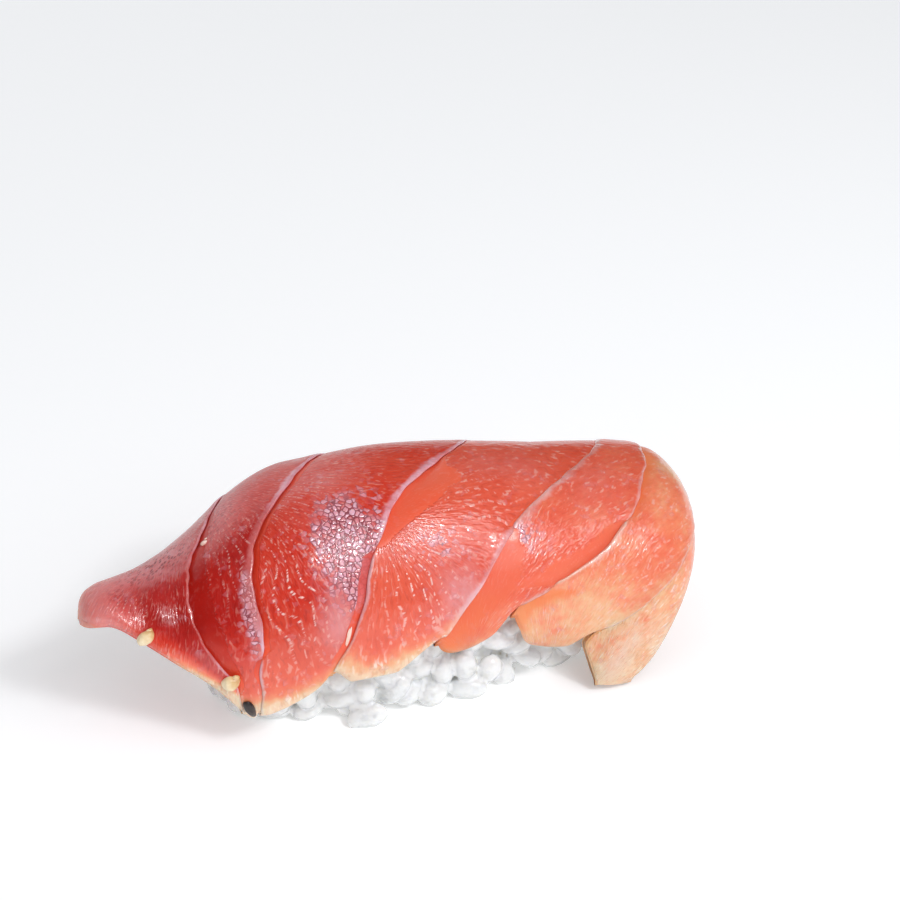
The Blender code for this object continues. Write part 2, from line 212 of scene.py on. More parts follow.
# Colour of each strip: 0 is the deepest red and 1 is cream, as (turn, tone) stations
TONES = (
    ((-1.0, 0.90), (-0.80, 0.72), (-0.72, 0.34), (-0.6, 0.16), (-0.45, 0.08), (-0.2, 0.12),
     (0.1, 0.24), (1.0, 0.34)),
    ((-0.88, 0.98), (-0.84, 0.84), (-0.79, 0.66), (-0.71, 0.44), (-0.62, 0.28), (-0.45, 0.12),
     (-0.2, 0.14), (0.0, 0.28), (0.5, 0.30), (0.9, 0.6)),
    ((-0.88, 1.02), (-0.84, 0.9), (-0.79, 0.68), (-0.72, 0.54), (-0.6, 0.4), (-0.5, 0.32),
     (-0.3, 0.34), (-0.1, 0.42), (0.5, 0.42), (0.9, 0.7)),
    ((-0.80, 0.96), (-0.77, 0.82), (-0.72, 0.66), (-0.66, 0.57), (-0.55, 0.52), (-0.3, 0.54),
     (-0.1, 0.56), (0.5, 0.54), (0.9, 0.8)),
    ((-0.78, 0.85), (-0.7, 0.68), (-0.55, 0.60), (-0.4, 0.61), (-0.2, 0.60), (0.0, 0.62), (0.5, 0.60),
     (0.9, 0.85)),
    ((-0.82, 0.92), (-0.75, 0.86), (-0.65, 0.78), (-0.5, 0.71), (-0.3, 0.72), (0.0, 0.76), (0.5, 0.70),
     (0.9, 0.92)),
    ((-1.0, 0.98), (-0.9, 0.95), (-0.78, 0.92), (-0.62, 0.86), (-0.45, 0.80), (0.0, 0.82), (0.5, 0.80),
     (0.9, 0.95)),
)
TIP_TONES = ((-45, 0.26), (-42, 0.16), (-39, 0.08), (-36, 0.0))     # added towards the tip
PALE_TIP = (-38, 6)         # run at which the tip's hem starts to pale, and over what length
# Patches as (strip, run, turn, half length, half height in turns, strength)
# Haze patches: a milky film over the flesh, partly painted sheen where light grazes the upper slopes
HAZE_SHEENS = ((0, -41.0, 0.15, 6.0, 0.3, 0.6), (0, -33.5, 0.1, 4.0, 0.18, 0.9),
         (0, -42.5, -0.5, 3.0, 0.3, 0.5), (0, -31.0, -0.7, 3.0, 0.12, 0.25),
         (0, -44.0, -0.3, 2.5, 0.3, 0.3),
         (1, -27.0, 0.12, 4.0, 0.2, 0.55), (1, -25.5, -0.55, 1.0, 0.2, 0.35),
         (2, -16.0, 0.0, 5.0, 0.2, 0.5), (2, -15.6, -0.62, 2.2, 0.13, 0.8),
         (3, 0.3, -0.61, 3.2, 0.13, 0.95), (3, 10.0, -0.06, 6.0, 0.14, 0.3),
         (3, -6.0, 0.1, 6.0, 0.2, 0.35), (4, 20.0, -0.15, 5.0, 0.2, 0.25),
         (5, 36.5, -0.05, 2.5, 0.25, 0.8), (6, 38.5, -0.1, 4.0, 0.3, 1.2),
         (6, 23.0, -0.86, 2.5, 0.08, 1.0), (6, 27.0, -0.78, 3.0, 0.05, 0.8))
# Cobbled patches, their cells painted with highlights
COBBLE_HIGHLIGHTS = ((1, -25.7, -0.48, 0.9, 0.13, 1.1), (2, -12.7, -0.37, 3.8, 0.16, 1.5),
           (2, -12.0, -0.52, 2.0, 0.08, 1.1), (3, -1.9, -0.43, 3.0, 0.05, 0.55),
           (4, 9.0, -0.42, 2.6, 0.05, 0.5))
# Drop patches, painted with glints
BEAD_GLINTS = ((2, -20.8, -0.5, 4.5, 0.2, 1.0), (3, -5.5, -0.52, 4.5, 0.2, 1.0),
         (1, -25.5, -0.25, 4.0, 0.2, 0.5), (3, 4.0, -0.3, 6.0, 0.2, 0.55),
         (4, 13.0, -0.48, 7.0, 0.08, 0.6), (5, 24.0, -0.52, 7.0, 0.12, 0.5),
         (0, -39.5, -0.35, 2.5, 0.15, 0.7), (2, -16.0, -0.1, 5.0, 0.16, 0.5))
PATCHES = {"haze_sheen": HAZE_SHEENS, "cobble_highlight": COBBLE_HIGHLIGHTS, "bead_glint": BEAD_GLINTS}
# Fibres fan out from a pivot in each strip: (run, turn, distance at which the rows are even)
PIVOTS = ((-30.0, 0.6, 25.0), (-27.0, 0.4, 22.0), (-26.0, 0.12, 17.0), (-8.6, -0.33, 8.0),
          (0.0, -0.78, 16.0), (10.0, -0.9, 16.0), (16.0, -1.05, 16.0))
ARC_PER_TURN = 36.0
TIP_FAN = (4, 20)           # half width added and half width counted as full, at the tip
STRIP_OFFSET = 40.0         # keeps one strip's pattern apart from the next one's

# Where the rice lies in the view, right of and above its middle, as shares of the distance
RICE_IN_VIEW = (-0.0096, -0.0804)
LENS_LENGTH = 100
SENSOR_WIDTH = 36
FLOOR_HALF = 3.0
FLOOR_DROP = 0.00005
ROOM_LIGHT = 0.31
LIGHT_COLOUR = (0.95, 0.97, 1.0)
# Soft lights: (name, place, size, power, mirrored in wet skin)
LIGHTS = (("key", (0.16, -0.34, 0.36), 0.34, 0.85, True),
          ("spark", (0.13, -0.33, 0.38), 0.08, 0.8, True),
          ("back", (-0.2, 0.6, 0.2), 0.8, 1.6, True),
          ("fill", (-0.1, -0.3, 0.7), 0.8, 1.05, False))


def through(stations, at):
    """Values on the smooth curve through (place, value) stations, without overshoot."""
    places, values = np.array(stations, float).T
    slopes = np.diff(values) / np.diff(places)
    leans = np.zeros(len(places))
    leans[0], leans[-1] = slopes[0], slopes[-1]
    before, after = slopes[:-1], slopes[1:]
    same = before * after > 0
    leans[1:-1][same] = 2 * (before * after)[same] / (before + after)[same]
    i = np.clip(np.searchsorted(places, at) - 1, 0, len(slopes) - 1)
    span = np.diff(places)[i]
    t = np.clip((at - places[i]) / span, 0, 1)
    rise = (3 - 2 * t) * t * t
    return (values[i] + (values[i + 1] - values[i]) * rise + span * leans[i] * t * (1 - t) ** 2
            + span * leans[i + 1] * t * t * (t - 1))


def smooth(t):
    """Soft step from 0 to 1."""
    t = np.clip(t, 0, 1)
    return t * t * (3 - 2 * t)


def rounded(squareness, angle):
    """Radius of a unit superellipse in the direction of an angle."""
    return (np.abs(np.sin(angle)) ** squareness + np.abs(np.cos(angle)) ** squareness) ** (
        -1 / squareness)


def end_angle(run):
    """Angle at which a run along the crown has come down the broad end."""
    angles = np.linspace(0, pi / 2, 121)
    reach = rounded(END_SQUARENESS, angles)
    drop = through(CROWN, np.array([END_START]))[0]
    along = np.hypot(np.diff(END_REACH * reach * np.sin(angles)),
                     np.diff(drop * reach * np.cos(angles)))
    return np.interp(run - END_START, np.concatenate(([0], np.cumsum(along))), angles)


def draped(run, turn, depth=0.0):
    """Points of the draped form, a depth inside it."""
    angle = end_angle(run)
    fall = rounded(END_SQUARENESS, angle)
    shrink = fall * np.cos(angle)
    foot = through(FOOT, run)
    half = through(HALF_WIDTH, run) * shrink
    rise = (through(CROWN, run) - foot) * shrink * (1 - END_SLOPE * fall * np.sin(angle))
    x = np.minimum(run, END_START) + END_REACH * fall * np.sin(angle)
    depth = np.maximum(depth, 1e-6)
    half = half - depth * (1 - np.exp(-half / depth))
    rise = rise - depth * (1 - np.exp(-rise / depth))
    x = x - depth * np.sin(angle)
    around = rounded(SIDE_SQUARENESS, turn * pi / 2)
    y = half * around * np.sin(turn * pi / 2)
    z = foot + rise * around * np.cos(turn * pi / 2)
    flare = np.clip((x - FLARE[0]) / (FLARE[1] - FLARE[0]), 0, 1)
    y = y * (1 - SIDE_TUCK[1] * (1 - flare) * np.clip(1 - z / SIDE_TUCK[0], 0, 1) ** 2)
    ease = np.clip((x - END_EASE[0]) / END_EASE[1], 0, 1) ** 1.5
    x = x - (END_TUCK[1] * np.clip(1 - z / END_TUCK[0], 0, 1) ** 2
             + END_SKEW[1] * np.clip(-y / END_SKEW[0], 0, 1) ** 1.5) * ease
    return np.stack((x, y + through(MIDLINE, run), z), -1)


def leans_of(run, turn):
    """How the form moves with the run and with the turn."""
    step = 0.05
    along = (draped(run + step, turn) - draped(run - step, turn)) / (2 * step)
    across = (draped(run, turn + step / 10) - draped(run, turn - step / 10)) / (step / 5)
    return along, across


def outward(run, turn):
    """Direction out of the draped form."""
    out = np.cross(*leans_of(run, turn))
    return out / np.linalg.norm(out, axis=-1, keepdims=True)


def run_per_mm(cut, turn):
    """Run that one millimetre straight away from a cut takes up."""
    run, ahead = through(cut, turn), through(cut, turn + 0.01)
    along, across = leans_of(run, turn)
    course = along * ((ahead - run) / 0.01)[..., None] + across
    away = (np.linalg.norm(np.cross(along, course), axis=-1)
            / np.linalg.norm(course, axis=-1))
    return 1 / np.maximum(away, 0.3)


def waver(cut, turn):
    """How unevenly a cut runs there, from -1 to 1."""
    return 0.6 * np.sin(turn * 24 + 2.1 * cut) + 0.4 * np.sin(turn * 57 + 1.3 * cut)


class Edge:
    """One side of a cut: what its strip does there, row by row."""

    def __init__(self, cut, turn, beyond, look):
        sink = through(SINKS[cut], turn) * (1 if beyond else -1)
        self.sunk = np.clip(sink / LIP_EASE, 0, 1)
        self.lip = np.clip(-sink / LIP_EASE, 0, 1)
        self.depth = np.abs(sink) * DIP_SHARE
        self.face_width = through(FACES[cut], turn)
        self.ribbon_width = through(RIBBONS[cut], turn) * (1 + RIBBON_WAVER * waver(cut + 5, turn))
        self.curl = look.lip_curl / MM
        self.height = look.lip_height / MM * (1 + LIP_WAVER * waver(cut + 3, turn))
        self.overhang = look.lip_overhang / MM
        self.run_per_mm = run_per_mm(CUTS[cut], turn)

    def body_start(self):
        """Distance from the cut at which the strip's body starts."""
        return self.sunk * (self.overhang + FACE_GAP) - self.lip * (self.overhang - self.curl)

    def dip(self, away):
        """How far the cut face lies under the form, a distance away from the cut."""
        return self.sunk * self.depth * (1 - smooth(away / self.face_width) ** 0.8)

    def body_height(self, away):
        """Height of the strip's body over the form, a distance away from the cut."""
        behind = (away + self.overhang - self.curl) / LIP_SLOPE
        return self.lip * self.height * smooth(1 - behind) - self.dip(away)

    def fold(self, share):
        """Distance from the cut and height of the folded edge, from its crease to the body."""
        round_curl = np.clip((share - LIP_STEM) / (1 - LIP_STEM), 0, 1)
        swing = LIP_UNDERSIDE + (pi / 2 - LIP_UNDERSIDE) * round_curl
        up_stem = min(share / LIP_STEM, 1)
        reach = (self.overhang - self.curl + self.curl * np.cos(swing)) * up_stem
        under = self.height - self.curl + self.curl * np.sin(swing)
        sunk_to = -self.depth - CREASE_DEPTH
        rise = sunk_to + (under - sunk_to) * up_stem
        away = self.sunk * (self.overhang + FACE_GAP) * share - self.lip * reach
        shut = (1 - self.lip - self.sunk) * GROOVE * (1 - share)
        return away, self.lip * rise - self.dip(away) - shut


def crowded(count):
    """Places from 0 to 1 that lie closer together at both ends."""
    t = np.linspace(0, 1, count)
    return t - CROWDING * np.sin(2 * pi * t) / (2 * pi)


def sheet_columns():
    """(strip, part, share) of every column; part is -1 and 1 in the folds, 0 in the body."""
    columns = []
    for strip, count in enumerate(BODY_COLUMNS):
        if strip:
            columns += [(strip, -1, i / FOLD_COLUMNS) for i in range(FOLD_COLUMNS)]
        columns += [(strip, 0, share) for share in crowded(count + 1)]
        if strip < len(BODY_COLUMNS) - 1:
            columns += [(strip, 1, 1 - (i + 1) / FOLD_COLUMNS) for i in range(FOLD_COLUMNS)]
    return columns


def creases_at(run, turn):
    """Depth of the creases by the tip."""
    total = 0
    for crease, lean, low, high, depth, wide in CREASES:
        along = np.clip((turn - low) / (high - low), 0, 1)
        total = total + (depth * np.sin(pi * along) ** 0.7
                         * np.exp(-((run - crease - lean * turn) / wide) ** 2))
    return total


def patches_at(patches, strip, run, turn):
    """Strength of one kind of patch on a strip."""
    strength = np.zeros(len(run))
    for where, mid_run, mid_turn, long, high, most in patches:
        if where == strip:
            strength += most * np.exp(-((run - mid_run) / long) ** 2
                                      - ((turn - mid_turn) / high) ** 2)
    return strength


def tone_at(strip, run, turn, from_hem):
    """How pale the flesh is, which grows towards the hems."""
    width, added, at_tip = PALE_HEM
    pale = smooth(1 - from_hem / width)
    tone = through(TONES[strip], turn) + added * pale * (strip < PALE_HEM_STRIPS)
    if strip == 0:
        tone += through(TIP_TONES, run) + at_tip * pale * smooth((run - PALE_TIP[0]) / PALE_TIP[1])
    return tone


def flow_at(strip, run, turn):
    """What the fibres follow: the distance from the strip's pivot, the way round it, the strip."""
    pivot_run, pivot_turn, even = PIVOTS[strip]
    ahead, above = run - pivot_run, (turn - pivot_turn) * ARC_PER_TURN
    if strip == 0:
        above = above * (through(HALF_WIDTH, run) + TIP_FAN[0]) / TIP_FAN[1]
    return np.stack((np.hypot(ahead, above), np.arctan2(above, ahead) * even,
                     np.full(len(run), strip * STRIP_OFFSET)), -1)


def sheet_form(look):
    """Outer and inner points of the slice, column by row, and what its material reads there."""
    rows = 2 * crowded(ROWS + 1) - 1
    edges = (TIP_EDGE, *CUTS, BROAD_EDGE)
    columns = sheet_columns()
    shape = (len(columns), len(rows))
    outer, inner, flow = (np.zeros(shape + (3,)) for _ in range(3))
    marks = {name: np.zeros(shape) for name in ("tone", "lip", "face", *PATCHES)}
    for c, (strip, part, share) in enumerate(columns):
        place = np.array([strip + {-1: 0, 0: share, 1: 1}[part] * 0.999])
        front, rear = through(FRONT_HEM, place)[0], through(BACK_HEM, place)[0]
        turn = front + (rear - front) * (rows + 1) / 2
        start, end = through(edges[strip], turn), through(edges[strip + 1], turn)
        left = right = None
        first, last = start, end
        if strip:
            left = Edge(strip - 1, turn, True, look)
            start = start + CUT_WAVER * waver(strip - 1, turn)
            first = start + left.body_start() * left.run_per_mm
        if strip < len(CUTS):
            right = Edge(strip, turn, False, look)
            end = end + CUT_WAVER * waver(strip, turn)
            last = end - right.body_start() * right.run_per_mm
        if part == 0:
            run = first + (last - first) * share
            height = np.full(len(rows), SWELL * np.sin(pi * share))
        elif part < 0:
            away, height = left.fold(share)
            run = start + away * left.run_per_mm
        else:
            away, height = right.fold(share)
            run = end - away * right.run_per_mm

        lip, face = marks["lip"][c], marks["face"][c]
        lip[:], face[:] = -1, -1
        for edge, away in ((left, run - start), (right, end - run)):
            if edge is None:
                continue
            away = away / edge.run_per_mm
            if part == 0:
                height = height + edge.body_height(away)
            on_ribbon = 1 - (away + edge.overhang) / (edge.ribbon_width * 0.8)
            on_face = 1 - away / edge.face_width
            lip[:] = np.maximum(lip, np.where(edge.lip > 0, on_ribbon * edge.lip, -1))
            face[:] = np.maximum(face, np.where(edge.sunk > 0, on_face * edge.sunk, -1))
        if strip == 0:
            height = height - creases_at(run, turn)

        arc = np.linalg.norm(leans_of(run, turn)[1], axis=-1)
        from_hem = np.minimum(turn - front, rear - turn) * arc
        thick = look.flesh_depth / MM * (1 - HEM_THINNING * np.abs(rows) ** 5)
        if strip == len(CUTS):
            from_end = np.exp((run - end) / CORNER)
            from_hem = -CORNER * np.log(np.exp(-from_hem / CORNER) + from_end)
            thick = thick * (1 - FLAP_THINNING * smooth(-turn / 0.4 - 0.5))
        brim = np.minimum(thick, BRIM) / 2
        curl = brim - np.sqrt(np.maximum(brim ** 2 - np.maximum(brim - from_hem, 0) ** 2, 0))
        if strip == 0:
            thick = thick * np.maximum(smooth((run - TIP_RUN) / TIP_THINNING[0]), TIP_THINNING[1])
            curl = np.minimum(curl, thick / 2)
        back = smooth(turn / 0.3 + 0.5)
        fade = (1 - 0.5 * np.abs(rows) ** 6) * (1 - (1 - BACK_RELIEF) * back)
        outer[c] = draped(run, turn) + outward(run, turn) * (height * fade - curl)[:, None]
        inner[c] = draped(run, turn, thick - curl)
        flow[c] = flow_at(strip, run, turn)
        marks["tone"][c] = tone_at(strip, run, turn, from_hem)
        for name, patches in PATCHES.items():
            marks[name][c] = patches_at(patches, strip, run, turn)
    return outer, inner, marks, flow


def sheet_mesh(look):
    """The slice as a mesh: a flat sheet, doubled by an extrusion, then draped."""
    outer, inner, marks, flow = sheet_form(look)
    count = len(outer)
    sheet = bmesh.new()
    bmesh.ops.create_grid(sheet, x_segments=count - 1, y_segments=ROWS, size=1.0)
    doubled = bmesh.ops.extrude_face_region(sheet, geom=sheet.faces[:], use_keep_orig=True)
    upper = [item for item in doubled["geom"] if isinstance(item, bmesh.types.BMVert)]
    bmesh.ops.translate(sheet, verts=upper, vec=(0, 0, 1))
    mesh = bpy.data.meshes.new("scored_tuna")
    sheet.to_mesh(mesh)
    sheet.free()
    flat = np.zeros(len(mesh.vertices) * 3)
    mesh.vertices.foreach_get("co", flat)
    flat = flat.reshape(-1, 3)
    column = np.rint((flat[:, 0] + 1) / 2 * (count - 1)).astype(int)
    row = np.rint((flat[:, 1] + 1) / 2 * ROWS).astype(int)
    place = np.where(flat[:, 2:] > 0.5, outer[column, row], inner[column, row]) * MM
    mesh.vertices.foreach_set("co", place.ravel())
    for name, values in marks.items():
        mesh.attributes.new(name, "FLOAT", "POINT").data.foreach_set(
            "value", values[column, row].astype(np.float32))
    mesh.attributes.new("flow", "FLOAT_VECTOR", "POINT").data.foreach_set(
        "vector", flow[column, row].astype(np.float32).ravel())
    mesh.update()
    tidy = bmesh.new()
    tidy.from_mesh(mesh)
    bmesh.ops.recalc_face_normals(tidy, faces=tidy.faces[:])
    tidy.to_mesh(mesh)
    tidy.free()
    mesh.shade_smooth()
    return mesh


def loaf_surface(out, inside):
    """Points of the rice's outline, a distance inside it, in the directions given."""
    fit = (np.abs(out) ** LOAF_SQUARENESS).sum(-1, keepdims=True) ** (-1 / LOAF_SQUARENESS)
    points = out * fit * (np.array(LOAF_HALF) - inside)
    points[..., 2] *= np.where(points[..., 2] > 0,
                               1 - LOAF_SLOPE * points[..., 0] / LOAF_HALF[2], 1)
    turn = radians(LOAF_TURN)
    x, y = points[..., 0].copy(), points[..., 1].copy()
    points[..., 0], points[..., 1] = x * cos(turn) - y * sin(turn), x * sin(turn) + y * cos(turn)
    return points + np.array(LOAF_CENTRE)


def loaf_outward(out):
    """Directions out of the rice's outline there."""
    fit = (np.abs(out) ** LOAF_SQUARENESS).sum(-1, keepdims=True) ** (-1 / LOAF_SQUARENESS)
    slant = np.sign(out) * np.abs(out * fit) ** (LOAF_SQUARENESS - 1) / np.array(LOAF_HALF)
    return slant / np.linalg.norm(slant, axis=-1, keepdims=True)


def foot_share(points):
    """How much of its drawing back the loaf's foot takes at each point."""
    return np.clip(1 - points[:, 2] / FOOT_HEIGHT, 0, 1) * (points[:, 1] < 0)


def hem_heights(places):
    """Height of the slice's front and back hems over the places along X."""
    strips = np.linspace(0, len(BODY_COLUMNS), 281)[:-1]
    edges = (TIP_EDGE, *CUTS, BROAD_EDGE)
    heights = []
    for hem in (FRONT_HEM, BACK_HEM):
        points = []
        for place in strips:
            strip, share = int(place), place - int(place)
            turn = through(hem, np.array([place]))
            start, end = through(edges[strip], turn), through(edges[strip + 1], turn)
            points.append(draped(start + (end - start) * share, turn)[0])
        points = np.array(points)
        order = np.argsort(points[:, 0])
        heights.append(np.interp(places, points[order, 0], points[order, 2]))
    return heights


def throw_grains(look, tree):
    """(centre, direction, outward) of the grains that show, and how many of them lie loose."""
    chance = np.random.default_rng(11)
    length, width = look.grain_length / MM, look.grain_width / MM
    reach = (length - width) / 2
    spots = np.zeros((0, 3))
    grains, loose = [], 0
    for inside, near, tries in GRAIN_LAYERS:
        out = chance.normal(size=(tries, 3)) * np.array(GRAIN_SPREAD)
        out /= np.linalg.norm(out, axis=1)[:, None]
        centres = loaf_surface(out, width * inside)
        centres[:, 1] += through(FOOT_SHIFT, centres[:, 0]) * foot_share(centres)
        outs = loaf_outward(out)
        lies = np.cross(outs, chance.normal(size=(tries, 3)))
        lies /= np.linalg.norm(lies, axis=1)[:, None]
        lies = lies + outs * chance.normal(size=(tries, 1)) * GRAIN_TILT
        lies /= np.linalg.norm(lies, axis=1)[:, None]
        front, rear = hem_heights(centres[:, 0])
        hem = np.where(centres[:, 1] < 0, front, rear)
        top = np.where(np.abs(outs[:, 0]) > END_FACING, UNDER_END, hem + UNDER_HEM)
        showing = (centres[:, 2] < top) & (centres[:, 2] > width * 0.35)
        for centre, lie, away in zip(centres[showing], lies[showing], outs[showing]):
            if centre[2] - abs(lie[2]) * reach < width * 0.3:      # lies flat on the floor
                lie = lie * np.array((1, 1, 0.2))
                lie /= np.linalg.norm(lie)
            own = centre + lie * reach * np.array(GRAIN_SHARES)[:, None]
            gaps = np.linalg.norm(spots[None] - own[:, None], axis=-1)
            if len(spots) and gaps.min() < width * near:
                continue
            if any(tree.find_nearest(Vector(spot) * MM)[3] < (width / 2 - 0.3) * MM for spot in own):
                continue
            spots = np.concatenate((spots, own))
            grains.append((centre, lie, away))
        loose = loose or len(grains)
    return grains, loose


def slice_tree():
    """Search tree of the draped slice's faces."""
    form = bmesh.new()
    form.from_mesh(bpy.data.objects["scored_tuna"].data)
    tree = BVHTree.FromBMesh(form)
    form.free()
    return tree


def add_grains(form, grains, look):
    """Grains laid into a bmesh, each bent and tapered in its own way."""
    chance = random.Random(5)
    length, width = look.grain_length, look.grain_width
    tint = form.verts.layers.float.new("tint")
    ball = bmesh.new()
    bmesh.ops.create_uvsphere(ball, u_segments=8, v_segments=7, radius=0.5,
                              matrix=Matrix.Rotation(pi / 2, 4, "Y"))
    round_ball = mesh_of(ball, "round_ball")
    for centre, lie, away in grains:
        lie, away = Vector(lie), Vector(away)
        side = away.cross(lie).normalized()
        turned = Matrix((lie, side, lie.cross(side))).transposed()
        before = len(form.verts)
        form.from_mesh(round_ball)
        long, bend = chance.uniform(*GRAIN_LENGTHS), chance.uniform(*GRAIN_BENDS)
        blunt, shade = chance.uniform(-GRAIN_BLUNTNESS, GRAIN_BLUNTNESS), chance.random()
        dents = Vector((chance.random(), chance.random(), chance.random())) * 90
        for vert in list(form.verts)[before:]:
            vert[tint] = shade
            share = vert.co.x * 2
            full = (1 - abs(share) ** 2.6) ** 0.5 / max((1 - share * share) ** 0.5, 0.05)
            lump = 1 + GRAIN_LUMPS * noise.noise(vert.co * 2.2 + dents)
            plump = min(full, 1.5) * (1 + blunt * share) * lump
            sag = bend * width * 0.4 * share * share
            vert.co = Vector((vert.co.x * length * long, vert.co.y * width * plump,
                              vert.co.z * width * GRAIN_FLATNESS * plump - sag))
            vert.co = turned @ vert.co + Vector(centre) * MM
            vert.co.z = max(vert.co.z, 0.0)
    bpy.data.meshes.remove(round_ball)
    bmesh.ops.recalc_face_normals(form, faces=form.faces[:])


def mesh_of(form, name):
    """A smooth-shaded mesh from a bmesh, which is freed."""
    mesh = bpy.data.meshes.new(name)
    form.to_mesh(mesh)
    form.free()
    mesh.shade_smooth()
    return mesh


def core_mesh(look, grains):
    """The pressed rice: a block puffed to a loaf, fused with its grains and cut at the floor."""
    core = bmesh.new()
    bmesh.ops.create_cube(core, size=2.0)
    bmesh.ops.subdivide_edges(core, edges=core.edges[:], cuts=19, use_grid_fill=True)
    inset, at_foot = CORE_INSET
    out = np.array([vert.co.normalized() for vert in core.verts])
    points = loaf_surface(out, look.grain_width / MM * inset)
    back = np.maximum(through(FOOT_SHIFT, points[:, 0]) + at_foot, at_foot)
    points[:, 1] += back * foot_share(points)
    for vert, point in zip(core.verts, points):
        vert.co = Vector(point) * MM
    add_grains(core, grains, look)
    block = bpy.data.objects.new("rice_block", mesh_of(core, "rice_block"))
    bpy.context.scene.collection.objects.link(block)
    fuse = block.modifiers.new("fuse", "REMESH")
    fuse.mode, fuse.voxel_size = "VOXEL", look.fuse_size
    fused = block.evaluated_get(bpy.context.evaluated_depsgraph_get())
    form = bmesh.new()
    form.from_mesh(fused.to_mesh())
    fused.to_mesh_clear()
    bpy.data.objects.remove(block)
    for _ in range(2):
        bmesh.ops.smooth_vert(form, verts=form.verts[:], factor=0.5, use_axis_x=True,
                              use_axis_y=True, use_axis_z=True)
    cut = bmesh.ops.bisect_plane(form, geom=form.verts[:] + form.edges[:] + form.faces[:],
                                 plane_co=(0, 0, FLOOR_CUT * MM), plane_no=(0, 0, 1),
                                 clear_inner=True)
    rim = [item for item in cut["geom_cut"] if isinstance(item, bmesh.types.BMEdge)]
    bmesh.ops.edgeloop_fill(form, edges=rim)
    bmesh.ops.recalc_face_normals(form, faces=form.faces[:])
    return mesh_of(form, "rice_core")


def surface_at(tree, run, turn):
    """Point on the slice's outside at a run and turn, and the direction out of it."""
    form = draped(np.array([run]), np.array([turn]))[0]
    away = outward(np.array([run]), np.array([turn]))[0]
    start = Vector(form + away * 4) * MM
    place, facing, _, _ = tree.ray_cast(start, Vector(-away), 9 * MM)
    if place is None:
        raise RuntimeError("The slice isn't where a seed should lie")
    return place, facing


def seed_mesh(name, places, length):
    """Seeds or crumbs: drops with a pointed end, pressed flat, some with a nub at one end."""
    form = bmesh.new()
    share = form.verts.layers.float.new("along")
    for place, facing, heading, long, wide, thick, nub in places:
        side = facing.cross(heading).normalized()
        turned = Matrix((side.cross(facing), side, facing)).transposed()
        drops = [(0.0, 0.0, 1.0)]
        if nub:
            drops.append((nub, nub * 0.4, NUB_SIZE))
        for ahead, aside, size in drops:
            made = bmesh.ops.create_uvsphere(form, u_segments=28, v_segments=18, radius=1.0)["verts"]
            for vert in made:
                vert[share] = vert.co.x
                lump = 1 + 0.16 * noise.noise(vert.co * 1.5 + place / MM)
                taper = (1 - 0.3 * (vert.co.x * 0.5 + 0.5) ** 1.6) * lump * size
                vert.co = Vector(((vert.co.x * size * lump + ahead) * length * long / 2,
                                  (vert.co.y * wide * taper + aside) * length / 2,
                                  vert.co.z * length * thick / 2 * taper))
                vert.co = turned @ vert.co + place
    return mesh_of(form, name)


def linear(red, green, blue):
    """A colour given by its usual 0 to 255 values, as Blender's linear ones."""
    def one(value):
        value /= 255
        return value / 12.92 if value <= 0.04045 else ((value + 0.055) / 1.055) ** 2.4
    return one(red), one(green), one(blue)


SKIN_COLOURS = ((0.0, linear(154, 12, 4)), (0.12, linear(182, 20, 9)), (0.3, linear(212, 48, 28)),
                (0.45, linear(222, 78, 54)), (0.6, linear(236, 100, 72)), (0.75, linear(242, 136, 98)),
                (0.88, linear(240, 180, 136)), (1.0, linear(242, 208, 174)))
FACE_COLOURS = ((0.0, linear(150, 12, 2)), (0.14, linear(176, 20, 8)), (0.3, linear(206, 46, 24)),
                (0.48, linear(244, 92, 58)), (0.6, linear(238, 108, 78)), (0.74, linear(242, 128, 80)),
                (0.86, linear(240, 158, 104)), (1.0, linear(242, 196, 148)))
# Pale fibre strokes on the cream flesh, partly painted glints
RIPE_GLINT = (*linear(255, 238, 222), 1)
WARM_STROKE = (*linear(226, 150, 96), 1)
DARK_STROKE = (*linear(150, 20, 16), 1)
PIT_COLOUR = (*linear(132, 22, 26), 1)
# Cells painted with the highlight of the light on their tops, their borders with painted shade
CELL_HIGHLIGHT_COLOUR = (*linear(240, 192, 208), 1)
BORDER_SHADE_COLOUR = (*linear(128, 16, 34), 1)
# Pale drops: painted glints
DROP_GLINT_COLOUR = (*linear(255, 222, 214), 1)
# Film on the deep red lips, partly painted sheen
DEEP_FILM_SHEEN = (*linear(214, 120, 118), 1)
CELL_SCALE = 1600.0         # cobbled cells to a metre
CELL_JOG = 0.3 * MM         # how far the cells' borders stray


